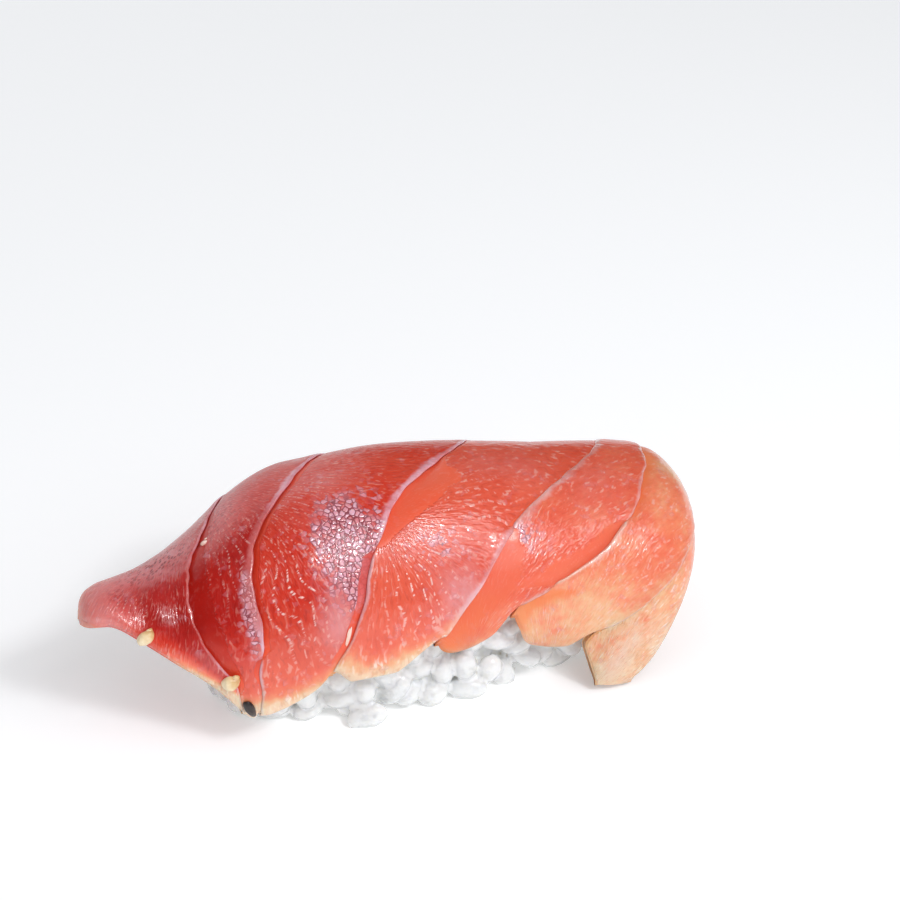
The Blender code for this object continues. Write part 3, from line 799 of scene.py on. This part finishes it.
class Nodes:
    """Short hand for placing and joining the nodes of one material or group."""

    def __init__(self, tree):
        self.tree = tree

    def add(self, kind, inputs=None, **settings):
        """A node with its settings, its sockets given as values or as other nodes' outputs."""
        node = self.tree.nodes.new("ShaderNode" + kind)
        for name, value in settings.items():
            setattr(node, name, value)
        for name, value in (inputs or {}).items():
            socket = node.inputs[name]
            if isinstance(value, bpy.types.NodeSocket):
                self.tree.links.new(value, socket)
            else:
                socket.default_value = value
        return node

    def maths(self, operation, *values, clamp=False):
        """The output of one sum."""
        node = self.add("Math", dict(enumerate(values)), operation=operation, use_clamp=clamp)
        return node.outputs[0]

    def mask(self, name):
        """The output of an attribute of the piece."""
        return self.add("Attribute", attribute_name=name).outputs["Fac"]

    def between(self, value, low, high, to_low=0.0, to_high=1.0):
        """A value brought softly from one range to another."""
        return self.add("MapRange", {"Value": value, "From Min": low, "From Max": high,
                                     "To Min": to_low, "To Max": to_high},
                        interpolation_type="SMOOTHSTEP").outputs["Result"]

    def mix(self, share, first, second, blend="MIX"):
        """Two colours mixed."""
        node = self.add("Mix", {0: share, 6: first, 7: second}, data_type="RGBA",
                        blend_type=blend)
        return node.outputs[2]

    def ramp(self, value, stops):
        """A colour ramp through (place, colour) stops."""
        node = self.add("ValToRGB", {"Fac": value})
        line = node.color_ramp.elements
        while len(line) > 1:
            line.remove(line[-1])
        line[0].position, line[0].color = stops[0][0], (*stops[0][1], 1)
        for place, colour in stops[1:]:
            line.new(place).color = (*colour, 1)
        return node.outputs["Color"]


def new_material(name, **constants):
    """A material with a Principled BSDF whose plain sockets are set, and its node helper."""
    material = bpy.data.materials.new(name)
    material.use_nodes = True
    shader = material.node_tree.nodes["Principled BSDF"]
    for socket, value in constants.items():
        shader.inputs[socket.replace("_", " ")].default_value = value
    return material, Nodes(material.node_tree), shader


def softly(nodes, vector, scale, detail=1.0, output="Fac", **inputs):
    """A soft noise."""
    return nodes.add("TexNoise", {"Vector": vector, "Scale": scale, "Detail": detail,
                                  **inputs}).outputs[output]


def new_group(name, inputs, outputs):
    """An empty shader node group with named sockets."""
    group = bpy.data.node_groups.new(name, "ShaderNodeTree")
    for label, kind, default in inputs:
        socket = group.interface.new_socket(label, in_out="INPUT", socket_type=kind)
        if default is not None:
            socket.default_value = default
    for label, kind in outputs:
        group.interface.new_socket(label, in_out="OUTPUT", socket_type=kind)
    nodes = Nodes(group)
    return group, nodes, group.nodes.new("NodeGroupInput"), group.nodes.new("NodeGroupOutput")


def mottle_group():
    """Shared soft cloudiness: a wide and a fine cloud, weighed together into one mask."""
    group, nodes, start, end = new_group(
        "mottle", (("Vector", "NodeSocketVector", None), ("Scale", "NodeSocketFloat", 100.0),
                   ("Fine share", "NodeSocketFloat", 0.4)), (("Mask", "NodeSocketFloat"),))
    vector, scale, share = (start.outputs[label] for label in ("Vector", "Scale", "Fine share"))
    wide = softly(nodes, vector, scale, 2.0)
    fine = softly(nodes, vector, nodes.maths("MULTIPLY", scale, 6.0), 3.0)
    mixed = nodes.maths("ADD", nodes.maths("MULTIPLY", fine, share),
                        nodes.maths("MULTIPLY", wide, nodes.maths("SUBTRACT", 1.0, share)))
    nodes.tree.links.new(mixed, end.inputs["Mask"])
    return group


def mottled(nodes, vector, scale, fine_share):
    """The mask of the shared cloudiness in a material."""
    group = bpy.data.node_groups.get("mottle") or mottle_group()
    node = nodes.tree.nodes.new("ShaderNodeGroup")
    node.node_tree = group
    nodes.tree.links.new(vector, node.inputs["Vector"])
    node.inputs["Scale"].default_value = scale
    node.inputs["Fine share"].default_value = fine_share
    return node.outputs["Mask"]


def stretched(nodes, flow, along, across):
    """Coordinates that follow the fibres, with scales along and across them."""
    return nodes.add("VectorMath", {0: flow, 1: (along, across, 1.0)},
                     operation="MULTIPLY").outputs["Vector"]


def moved(nodes, vector, amount, place):
    """Coordinates moved by an amount of another vector."""
    return nodes.add("VectorMath", {0: vector, 1: amount, 2: place},
                     operation="MULTIPLY_ADD").outputs["Vector"]


def fibre_strokes(nodes, place, flow):
    """Short strokes along the fibres: high where pale, the pale ones partly painted glints, low where
    dark.
    """
    bent = softly(nodes, place, 300.0, output="Color")
    bent = moved(nodes, bent, (1.2, 2.4, 0.0), stretched(nodes, flow, 0.85, 3.0))
    return softly(nodes, bent, 1.0, 1.5)


def torn_cells(nodes, place, cobble_highlight, patchy, bare):
    """Cobbled skin: where its cells show with a painted highlight, how much of it each one takes, and
    the way to its border.
    """
    jogged = softly(nodes, place, 1500.0, output="Color")
    jogged = moved(nodes, jogged, (CELL_JOG, CELL_JOG, CELL_JOG), place)
    cells = nodes.add("TexVoronoi", {"Vector": jogged, "Scale": CELL_SCALE},
                      feature="DISTANCE_TO_EDGE").outputs["Distance"]
    cell_highlight_share = nodes.add("TexVoronoi", {"Vector": jogged, "Scale": CELL_SCALE}).outputs["Color"]
    cell_highlight_share = nodes.add("SeparateXYZ", {"Vector": cell_highlight_share}).outputs["X"]
    torn = nodes.maths("MULTIPLY_ADD", cell_highlight_share, 0.5, nodes.maths("SUBTRACT", cobble_highlight, 0.5))
    torn = nodes.maths("MULTIPLY_ADD", patchy, 0.25, torn)
    return nodes.maths("MULTIPLY", nodes.between(torn, 0.05, 0.75), bare), cell_highlight_share, cells


def rows_of_drops(nodes, place, flow, bead_glint, bare):
    """Fine drops in wavy rows along the fibres, their pale colour a painted glint."""
    across = nodes.add("SeparateXYZ", {"Vector": flow}).outputs["Y"]
    sway = softly(nodes, place, 220.0, 0.0)
    rows = nodes.maths("MULTIPLY_ADD", sway, 2.2, nodes.maths("MULTIPLY", across, 0.8))
    rows = nodes.between(nodes.maths("PINGPONG", rows, 0.5), 0.37, 0.48)
    dashes = nodes.between(softly(nodes, stretched(nodes, flow, 2.7, 0.7), 1.0, 1.5), 0.48, 0.6)
    return nodes.maths("MULTIPLY", nodes.maths("MULTIPLY", rows, dashes),
                       nodes.maths("MULTIPLY", bead_glint, bare))


def dark_pits(nodes, flow, tone, haze_sheen):
    """Pits in the deep red flesh under its milky haze, whose paleness is partly painted sheen."""
    pits = nodes.add("TexVoronoi", {"Vector": stretched(nodes, flow, 1.3, 1.0),
                                    "Scale": 1.0}).outputs["Distance"]
    pits = nodes.maths("MULTIPLY", nodes.between(pits, 0.5, 0.2), nodes.between(tone, 0.4, 0.25))
    return nodes.maths("MULTIPLY", pits, nodes.maths("MULTIPLY_ADD", haze_sheen, 1.0, 0.06), clamp=True)


def flesh_material(look):
    """Raw tuna: red to cream flesh, fibres partly painted with glints, cobbled skin with painted
    highlights, pale lips partly painted sheen and smooth cut faces.
    """
    material, nodes, shader = new_material(
        "tuna_flesh", Roughness=0.36, Subsurface_Weight=0.3, Subsurface_Scale=0.0025,
        Subsurface_Radius=(1.0, 0.35, 0.2), Coat_Roughness=0.12, Coat_IOR=1.6, IOR=1.42)
    flow = nodes.add("Attribute", attribute_name="flow").outputs["Vector"]
    place = nodes.add("TexCoord").outputs["Object"]
    tone, lip, face = nodes.mask("tone"), nodes.mask("lip"), nodes.mask("face")
    haze_sheen, cobble_highlight, bead_glint = nodes.mask("haze_sheen"), nodes.mask("cobble_highlight"), nodes.mask("bead_glint")

    # Where the faces and lips are, with ragged borders
    ragged = softly(nodes, flow, 1.3, 3.0)
    on_face = nodes.maths("MULTIPLY_ADD", ragged, 0.4, nodes.maths("SUBTRACT", face, 0.2))
    on_face = nodes.between(on_face, 0.0, nodes.between(tone, 0.55, 0.7, 0.07, 0.7))
    on_lip = nodes.maths("MULTIPLY_ADD", ragged, 0.9, nodes.maths("SUBTRACT", lip, 0.45))
    on_lip = nodes.between(on_lip, -0.25, 0.55)
    bare = nodes.maths("SUBTRACT", 1.0, nodes.maths("MULTIPLY", on_face, 0.8))

    # Marks
    cloud = mottled(nodes, place, 170.0, 0.35)
    patchy = nodes.between(softly(nodes, place, 420.0), 0.38, 0.62, 0.3, 1.0)
    strokes = fibre_strokes(nodes, place, flow)
    cobbled_highlight, cell_highlight_share, cells = torn_cells(nodes, place, cobble_highlight, patchy, bare)
    beaded_glints = rows_of_drops(nodes, place, flow, bead_glint, bare)
    pits = dark_pits(nodes, flow, tone, haze_sheen)
    ripe = nodes.between(tone, 0.78, 0.92)

    # Skin and cut faces
    streak = softly(nodes, stretched(nodes, flow, 0.16, 0.9), 1.0, 4.0, Roughness=0.65)
    uneven = nodes.maths("MULTIPLY", nodes.maths("SUBTRACT", cloud, 0.5),
                         nodes.between(tone, 0.5, 0.95, 0.3, 0.75))
    lowered = nodes.maths("SUBTRACT", tone, 0.07)
    toned = nodes.maths("ADD", nodes.maths("MULTIPLY_ADD", streak, 0.14, lowered), uneven)
    skin = nodes.ramp(toned, SKIN_COLOURS)
    cut_face = nodes.ramp(nodes.maths("MULTIPLY_ADD", cloud, 0.14, lowered), FACE_COLOURS)
    colour = nodes.mix(on_face, skin, cut_face)

    # Strokes partly painted glints, haze partly painted sheen, pits, cells with painted highlights and
    # painted shade at their borders, drops with painted glints, and the film on the lips partly painted
    # sheen, in the order laid on
    # Pale strokes: strands partly painted with glints
    pale = nodes.maths("MULTIPLY", nodes.between(strokes, 0.56, 0.68),
                       nodes.maths("MULTIPLY", patchy, bare))
    warm = nodes.maths("MULTIPLY", nodes.between(strokes, 0.46, 0.34),
                       nodes.maths("MULTIPLY", ripe, bare))
    dark = nodes.maths("MULTIPLY", nodes.between(strokes, 0.44, 0.33),
                       nodes.maths("MULTIPLY", bare, nodes.between(tone, 0.35, 0.7, 1.0, 0.2)))
    # Milky haze, partly painted sheen of light grazing the upper slopes
    misty_sheen = nodes.maths("MULTIPLY", haze_sheen, nodes.between(cloud, 0.25, 0.6), clamp=True)
    # Painted shade in the grooves between the cells
    border_shade = nodes.maths("MULTIPLY", nodes.between(cells, 0.17, 0.03), cobbled_highlight)
    # Pale film on the lips, partly painted sheen of light on their rounded edges
    filmed_sheen = nodes.maths("MULTIPLY", on_lip, nodes.between(cloud, 0.3, 0.62, 0.3, 0.8))
    lip_sheen_colour, fat_sheen_colour = (*look.lip_sheen_colour, 1), (*look.fat_sheen_colour, 1)
    fibre_glints = nodes.mix(ripe, (*look.fibre_glint_colour, 1), RIPE_GLINT)
    haze_sheen_tint = nodes.mix(nodes.between(tone, 0.55, 0.75), (*look.haze_sheen_colour, 1), fat_sheen_colour)
    film_sheen = nodes.mix(nodes.between(tone, 0.12, 0.3), DEEP_FILM_SHEEN, lip_sheen_colour)
    film_sheen = nodes.mix(nodes.between(tone, 0.4, 0.8), film_sheen, fat_sheen_colour)
    for share, laid_on in (
            (nodes.maths("MULTIPLY", pale, nodes.between(tone, 0.1, 0.9, 0.26, 0.7)), fibre_glints),
            (nodes.maths("MULTIPLY", warm, 0.32), WARM_STROKE),
            (nodes.maths("MULTIPLY", dark, 0.28), DARK_STROKE),
            (nodes.maths("MULTIPLY", nodes.maths("MULTIPLY", misty_sheen, bare), 0.6), haze_sheen_tint),
            (nodes.maths("MULTIPLY", pits, 0.8), PIT_COLOUR),
            (nodes.maths("MULTIPLY", cobbled_highlight, nodes.maths("MULTIPLY_ADD", cell_highlight_share, 0.6, 0.3)),
             CELL_HIGHLIGHT_COLOUR),
            (nodes.maths("MULTIPLY", border_shade, 0.85), BORDER_SHADE_COLOUR),
            (nodes.maths("MULTIPLY", beaded_glints, 0.85, clamp=True), DROP_GLINT_COLOUR),
            (nodes.maths("MULTIPLY", filmed_sheen, nodes.between(tone, 0.35, 0.7, 1.0, 0.6)), film_sheen)):
        colour = nodes.mix(share, colour, laid_on)
    nodes.tree.links.new(colour, shader.inputs["Base Color"])

    # Low relief in millimetres, then how wet the skin is
    leather = softly(nodes, place, 1000.0)
    ridges = nodes.maths("MULTIPLY", strokes, nodes.maths("MULTIPLY_ADD", ripe, 0.12, 0.1))
    height = nodes.maths("MULTIPLY_ADD", leather, 0.034, ridges)
    height = nodes.maths("MULTIPLY_ADD", pits, -0.04, height)
    height = nodes.maths("MULTIPLY", height, bare)
    dome = nodes.maths("MULTIPLY", nodes.between(cells, 0.0, 0.3), cobbled_highlight)
    height = nodes.maths("MULTIPLY_ADD", dome, 0.042, height)
    height = nodes.maths("MULTIPLY_ADD", beaded_glints, 0.03, height)
    bump = nodes.add("Bump", {"Height": height, "Distance": MM, "Strength": 1.0})
    nodes.tree.links.new(bump.outputs["Normal"], shader.inputs["Normal"])
    nodes.tree.links.new(bump.outputs["Normal"], shader.inputs["Coat Normal"])
    wet = nodes.maths("MULTIPLY_ADD", cobbled_highlight, 0.6, nodes.maths("MULTIPLY_ADD", beaded_glints, 0.6, 0.55))
    wet = nodes.maths("MULTIPLY", wet, nodes.maths("MULTIPLY_ADD", on_face, -0.8, 1.0))
    wet = nodes.maths("MULTIPLY_ADD", on_lip, 0.3, wet, clamp=True)
    nodes.tree.links.new(wet, shader.inputs["Coat Weight"])
    return material


def rice_material(look, packed):
    """Cooked rice: moist and milky, with painted shade in the hollows between the grains."""
    material, nodes, shader = new_material(
        "packed_rice" if packed else "cooked_rice", Roughness=0.26, Subsurface_Weight=0.45,
        Subsurface_Scale=0.0016, Subsurface_Radius=(1.0, 0.95, 0.8), Coat_Weight=0.6,
        Coat_Roughness=0.08, IOR=1.35)
    place = nodes.add("TexCoord").outputs["Object"]
    cloud = mottled(nodes, place, 330.0, 0.4)
    if packed:
        # Packed rice darker in its hollows: painted shade
        hollow = nodes.add("NewGeometry").outputs["Pointiness"]
        colour = nodes.mix(nodes.between(hollow, 0.38, 0.47), (*look.gap_shade_colour, 1),
                           (*look.rice_colour, 1))
    else:
        milky = nodes.maths("MULTIPLY_ADD", nodes.mask("tint"), 0.5, 0.25)
        milky = nodes.maths("ADD", milky, nodes.maths("MULTIPLY_ADD", cloud, 0.8, -0.4), clamp=True)
        colour = nodes.mix(milky, (*look.clear_colour, 1), (*look.rice_colour, 1))
    nodes.tree.links.new(colour, shader.inputs["Base Color"])
    height = nodes.maths("MULTIPLY_ADD", softly(nodes, place, 1200.0), 0.05,
                         nodes.maths("MULTIPLY", cloud, 0.3))
    bump = nodes.add("Bump", {"Height": height, "Distance": MM, "Strength": 1.0})
    nodes.tree.links.new(bump.outputs["Normal"], shader.inputs["Normal"])
    return material


def seed_material(name, stops, roughness):
    """A seed's husk: tinted from its point to its round end, with a dry pitted skin."""
    material, nodes, shader = new_material(name, Roughness=roughness, Coat_Weight=0.3,
                                           Coat_Roughness=0.2)
    place = nodes.add("TexCoord").outputs["Object"]
    share = nodes.maths("MULTIPLY_ADD", nodes.mask("along"), 0.4, 0.4)
    stain = nodes.maths("MULTIPLY_ADD", softly(nodes, place, 1100.0, 3.0), 0.6, -0.3)
    share = nodes.maths("ADD", share, stain)
    nodes.tree.links.new(nodes.ramp(share, stops), shader.inputs["Base Color"])
    pits = nodes.add("TexVoronoi", {"Vector": place, "Scale": 3800.0}).outputs["Distance"]
    bump = nodes.add("Bump", {"Height": pits, "Distance": 0.06 * MM, "Strength": 0.4})
    nodes.tree.links.new(bump.outputs["Normal"], shader.inputs["Normal"])
    return material


class LookOfRice(bpy.types.PropertyGroup):
    """Sizes and colours of the rice."""

    grain_length: FloatProperty(name="Grain length", description="Length of a cooked grain",
                                default=5.6 * MM, min=4 * MM, max=9 * MM, unit="LENGTH")
    grain_width: FloatProperty(name="Grain width", description="Width of a cooked grain",
                               default=3.4 * MM, min=2 * MM, max=4 * MM, unit="LENGTH")
    fuse_size: FloatProperty(name="Fuse size", description="Fineness at which the grains are fused",
                             default=0.32 * MM, min=0.15 * MM, max=MM, unit="LENGTH")
    rice_colour: FloatVectorProperty(name="Rice colour", description="Milky part of a grain",
                                     default=(0.93, 0.935, 0.92), subtype="COLOR", min=0, max=1)
    clear_colour: FloatVectorProperty(name="Clear colour", description="Clearer part of a grain",
                                      default=(0.84, 0.86, 0.85), subtype="COLOR", min=0, max=1)
    # Painted shade in the hollows between the grains
    gap_shade_colour: FloatVectorProperty(name="Gap colour", description="Shade between the grains",
                                    default=linear(216, 210, 192), subtype="COLOR", min=0, max=1)


class LookOfSeeds(bpy.types.PropertyGroup):
    """Sizes and colours of the seeds."""

    seed_length: FloatProperty(name="Seed length", description="Length of a sesame seed",
                               default=2.8 * MM, min=2 * MM, max=4 * MM, unit="LENGTH")
    pale_colour: FloatVectorProperty(name="Pale seed", description="Husk of a pale seed",
                                     default=linear(250, 230, 192), subtype="COLOR", min=0, max=1)
    toasted_colour: FloatVectorProperty(name="Toasted end", description="Darker end of a pale seed",
                                        default=linear(196, 124, 62), subtype="COLOR", min=0, max=1)
    black_colour: FloatVectorProperty(name="Black seed", description="Husk of a black seed",
                                      default=linear(38, 28, 27), subtype="COLOR", min=0, max=1)


class LookOfTuna(bpy.types.PropertyGroup):
    """Sizes and colours of the slice."""

    flesh_depth: FloatProperty(name="Flesh depth", description="Thickness along the crown",
                               default=4.6 * MM, min=MM, max=8 * MM, unit="LENGTH")
    lip_height: FloatProperty(name="Lip height", description="How far a cut's lip stands up",
                              default=0.2 * MM, min=0, max=MM, unit="LENGTH")
    lip_overhang: FloatProperty(name="Lip overhang", description="How far a lip leans over a cut",
                                default=0.4 * MM, min=0, max=2 * MM, unit="LENGTH")
    lip_curl: FloatProperty(name="Lip curl", description="Radius of a lip's rounded edge",
                            default=0.22 * MM, min=0, max=MM, unit="LENGTH")
    # Pale film on the lips and at the broad end, partly painted sheen
    lip_sheen_colour: FloatVectorProperty(name="Lip colour", description="Pale film along the cuts",
                                    default=linear(234, 186, 200), subtype="COLOR", min=0, max=1)
    fat_sheen_colour: FloatVectorProperty(name="Fat colour", description="Paler film at the broad end",
                                    default=linear(246, 204, 190), subtype="COLOR", min=0, max=1)
    # Pale strands in the flesh, partly painted glints
    fibre_glint_colour: FloatVectorProperty(name="Fibre colour", description="Fine strands in the flesh",
                                      default=linear(244, 186, 170), subtype="COLOR", min=0, max=1)
    # Milky film over the flesh, partly painted sheen
    haze_sheen_colour: FloatVectorProperty(name="Haze colour", description="Milky film over the flesh",
                                     default=linear(226, 172, 178), subtype="COLOR", min=0, max=1)


class LookOfStage(bpy.types.PropertyGroup):
    """Camera, floor and light."""

    azimuth: FloatProperty(name="Azimuth", description="Camera's place round the nigiri",
                           default=radians(-19), subtype="ANGLE")
    elevation: FloatProperty(name="Elevation", description="Camera's height over the floor",
                             default=radians(32), subtype="ANGLE")
    distance: FloatProperty(name="Distance", description="Camera's distance from the rice",
                            default=0.325, min=0.1, unit="LENGTH")
    floor: FloatVectorProperty(name="Floor colour", description="The plain floor",
                               default=(0.95, 0.95, 0.95), subtype="COLOR", min=0, max=1)


def show(mesh, name, slot, *nodes):
    """An object for a finished mesh, riding on the root body."""
    piece = bpy.data.objects.new(name, mesh)
    bpy.context.scene.collection.objects.link(piece)
    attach(piece, "root")
    if nodes:
        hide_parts(*nodes)
    return piece


def lay_floor(look):
    """A plain pale floor, just under the rice."""
    form = bmesh.new()
    bmesh.ops.create_grid(form, x_segments=1, y_segments=1, size=FLOOR_HALF)
    mesh = bpy.data.meshes.new("floor")
    form.to_mesh(mesh)
    form.free()
    material, _, _ = new_material("floor", Roughness=0.9, Emission_Strength=0.2,
                                       Emission_Color=(1, 1, 1, 1), Base_Color=(*look.floor, 1))
    mesh.materials.append(material)
    floor = bpy.data.objects.new("floor", mesh)
    floor.location.z = -FLOOR_DROP
    bpy.context.scene.collection.objects.link(floor)


def soft_room():
    """Even light from all round that leaves no reflection in the wet skin."""
    world = bpy.data.worlds.new("soft_room")
    world.use_nodes = True
    background = world.node_tree.nodes["Background"]
    background.inputs["Color"].default_value = (0.95, 0.97, 1, 1)
    background.inputs["Strength"].default_value = ROOM_LIGHT
    world.cycles_visibility.glossy = False
    bpy.context.scene.world = world


def soft_light(name, place, size, power, mirrored):
    """A square light that faces the rice."""
    lamp = bpy.data.lights.new(name, "AREA")
    lamp.size, lamp.energy, lamp.color = size, power, LIGHT_COLOUR
    light = bpy.data.objects.new(name, lamp)
    light.location = place
    light.rotation_euler = Vector(place).to_track_quat("Z", "Y").to_euler()
    light.visible_glossy = mirrored
    bpy.context.scene.collection.objects.link(light)


def set_camera(look):
    """A long lens that looks down on the front of the rice."""
    turn, tilt = look.azimuth, look.elevation
    back = Vector((sin(turn) * cos(tilt), -cos(turn) * cos(tilt), sin(tilt)))
    right = Vector((cos(turn), sin(turn), 0))
    up = back.cross(right)
    aside = Vector(RICE_IN_VIEW) * look.distance
    place = back * look.distance - right * aside.x - up * aside.y
    eye = bpy.data.cameras.new("camera")
    eye.lens, eye.sensor_width = LENS_LENGTH, SENSOR_WIDTH
    camera = bpy.data.objects.new("camera", eye)
    facing = Matrix((right, up, back)).transposed().to_4x4()
    camera.matrix_world = Matrix.Translation(place) @ facing
    bpy.context.scene.collection.objects.link(camera)
    bpy.context.scene.camera = camera


class DrapeTuna(bpy.types.Operator):
    """Drape the scored slice of tuna over the rice"""

    bl_idname = "nigiri.drape_tuna"
    bl_label = "Drape Tuna"

    def execute(self, context):
        look = context.scene.nigiri_tuna
        mesh = sheet_mesh(look)
        mesh.materials.append(flesh_material(look))
        show(mesh, "scored_tuna", "tuna", "tuna_slice")
        return {"FINISHED"}


class PressRice(bpy.types.Operator):
    """Press the rice into its loaf and lay the loose grains over it"""

    bl_idname = "nigiri.press_rice"
    bl_label = "Press Rice"

    def execute(self, context):
        look = context.scene.nigiri_rice
        grains, loose = throw_grains(look, slice_tree())
        core = core_mesh(look, grains)
        core.materials.append(rice_material(look, True))
        show(core, "rice_core", "rice", "rice_bed")
        form = bmesh.new()
        add_grains(form, grains[:loose], look)
        mesh = mesh_of(form, "rice_grains")
        mesh.materials.append(rice_material(look, False))
        show(mesh, "rice_grains", "rice")
        return {"FINISHED"}


class SprinkleSeeds(bpy.types.Operator):
    """Sprinkle the sesame seeds and the crumb of fish"""

    bl_idname = "nigiri.sprinkle_seeds"
    bl_label = "Sprinkle Seeds"

    def execute(self, context):
        look = context.scene.nigiri_seeds
        tree = slice_tree()
        pale = ((0.2, look.pale_colour), (0.55, linear(228, 190, 134)), (0.9, look.toasted_colour))
        flake = ((0.2, linear(248, 206, 186)), (0.9, linear(250, 226, 214)))
        black = ((0.2, look.black_colour), (0.9, linear(70, 52, 44)))
        for name, slot, bits, husk, stops, roughness in (
                ("sesame_pale", "rice", PALE_SEEDS, "pale_husk", pale, 0.45),
                ("fish_crumb", "tuna", CRUMBS, "fish_flake", flake, 0.3),
                ("sesame_black", "rice", BLACK_SEEDS, "black_husk", black, 0.35)):
            places = []
            for run, turn, heading, *shape in bits:
                place, facing = surface_at(tree, run, turn)
                lift = look.seed_length * shape[2] * 0.2
                places.append((place + facing * lift, facing, Vector(heading), *shape))
            mesh = seed_mesh(name, places, look.seed_length)
            mesh.materials.append(seed_material(husk, stops, roughness))
            show(mesh, name, slot)
        return {"FINISHED"}


class SetStage(bpy.types.Operator):
    """Set the floor, the soft light and the camera"""

    bl_idname = "nigiri.set_stage"
    bl_label = "Set Stage"

    def execute(self, context):
        look = context.scene.nigiri_stage
        lay_floor(look)
        soft_room()
        for name, place, size, power, mirrored in LIGHTS:
            soft_light(name, place, size, power, mirrored)
        set_camera(look)
        context.scene.view_settings.view_transform = "Standard"
        return {"FINISHED"}


class NigiriPanel(bpy.types.Panel):
    """Panel that lists the pieces in the order in which they are made"""

    bl_idname = "NIGIRI_PT_pieces"
    bl_label = "Nigiri"
    bl_space_type = "VIEW_3D"
    bl_region_type = "UI"
    bl_category = "Nigiri"

    def draw(self, context):
        for look, operator in (("nigiri_tuna", DrapeTuna), ("nigiri_rice", PressRice),
                               ("nigiri_seeds", SprinkleSeeds), ("nigiri_stage", SetStage)):
            box = self.layout.box()
            settings = getattr(context.scene, look)
            for name in settings.__annotations__:
                box.prop(settings, name)
            box.operator(operator.bl_idname)


CLASSES = (LookOfTuna, LookOfRice, LookOfSeeds, LookOfStage, DrapeTuna, PressRice, SprinkleSeeds,
           SetStage, NigiriPanel)


def register():
    for item in CLASSES:
        bpy.utils.register_class(item)
    bpy.types.Scene.nigiri_tuna = PointerProperty(type=LookOfTuna)
    bpy.types.Scene.nigiri_rice = PointerProperty(type=LookOfRice)
    bpy.types.Scene.nigiri_seeds = PointerProperty(type=LookOfSeeds)
    bpy.types.Scene.nigiri_stage = PointerProperty(type=LookOfStage)


def unregister():
    del bpy.types.Scene.nigiri_tuna, bpy.types.Scene.nigiri_rice
    del bpy.types.Scene.nigiri_seeds, bpy.types.Scene.nigiri_stage
    for item in reversed(CLASSES):
        bpy.utils.unregister_class(item)


def main():
    register()
    bpy.ops.nigiri.drape_tuna()
    bpy.ops.nigiri.press_rice()
    bpy.ops.nigiri.sprinkle_seeds()
    bpy.ops.nigiri.set_stage()


if __name__ == "__main__":
    main()
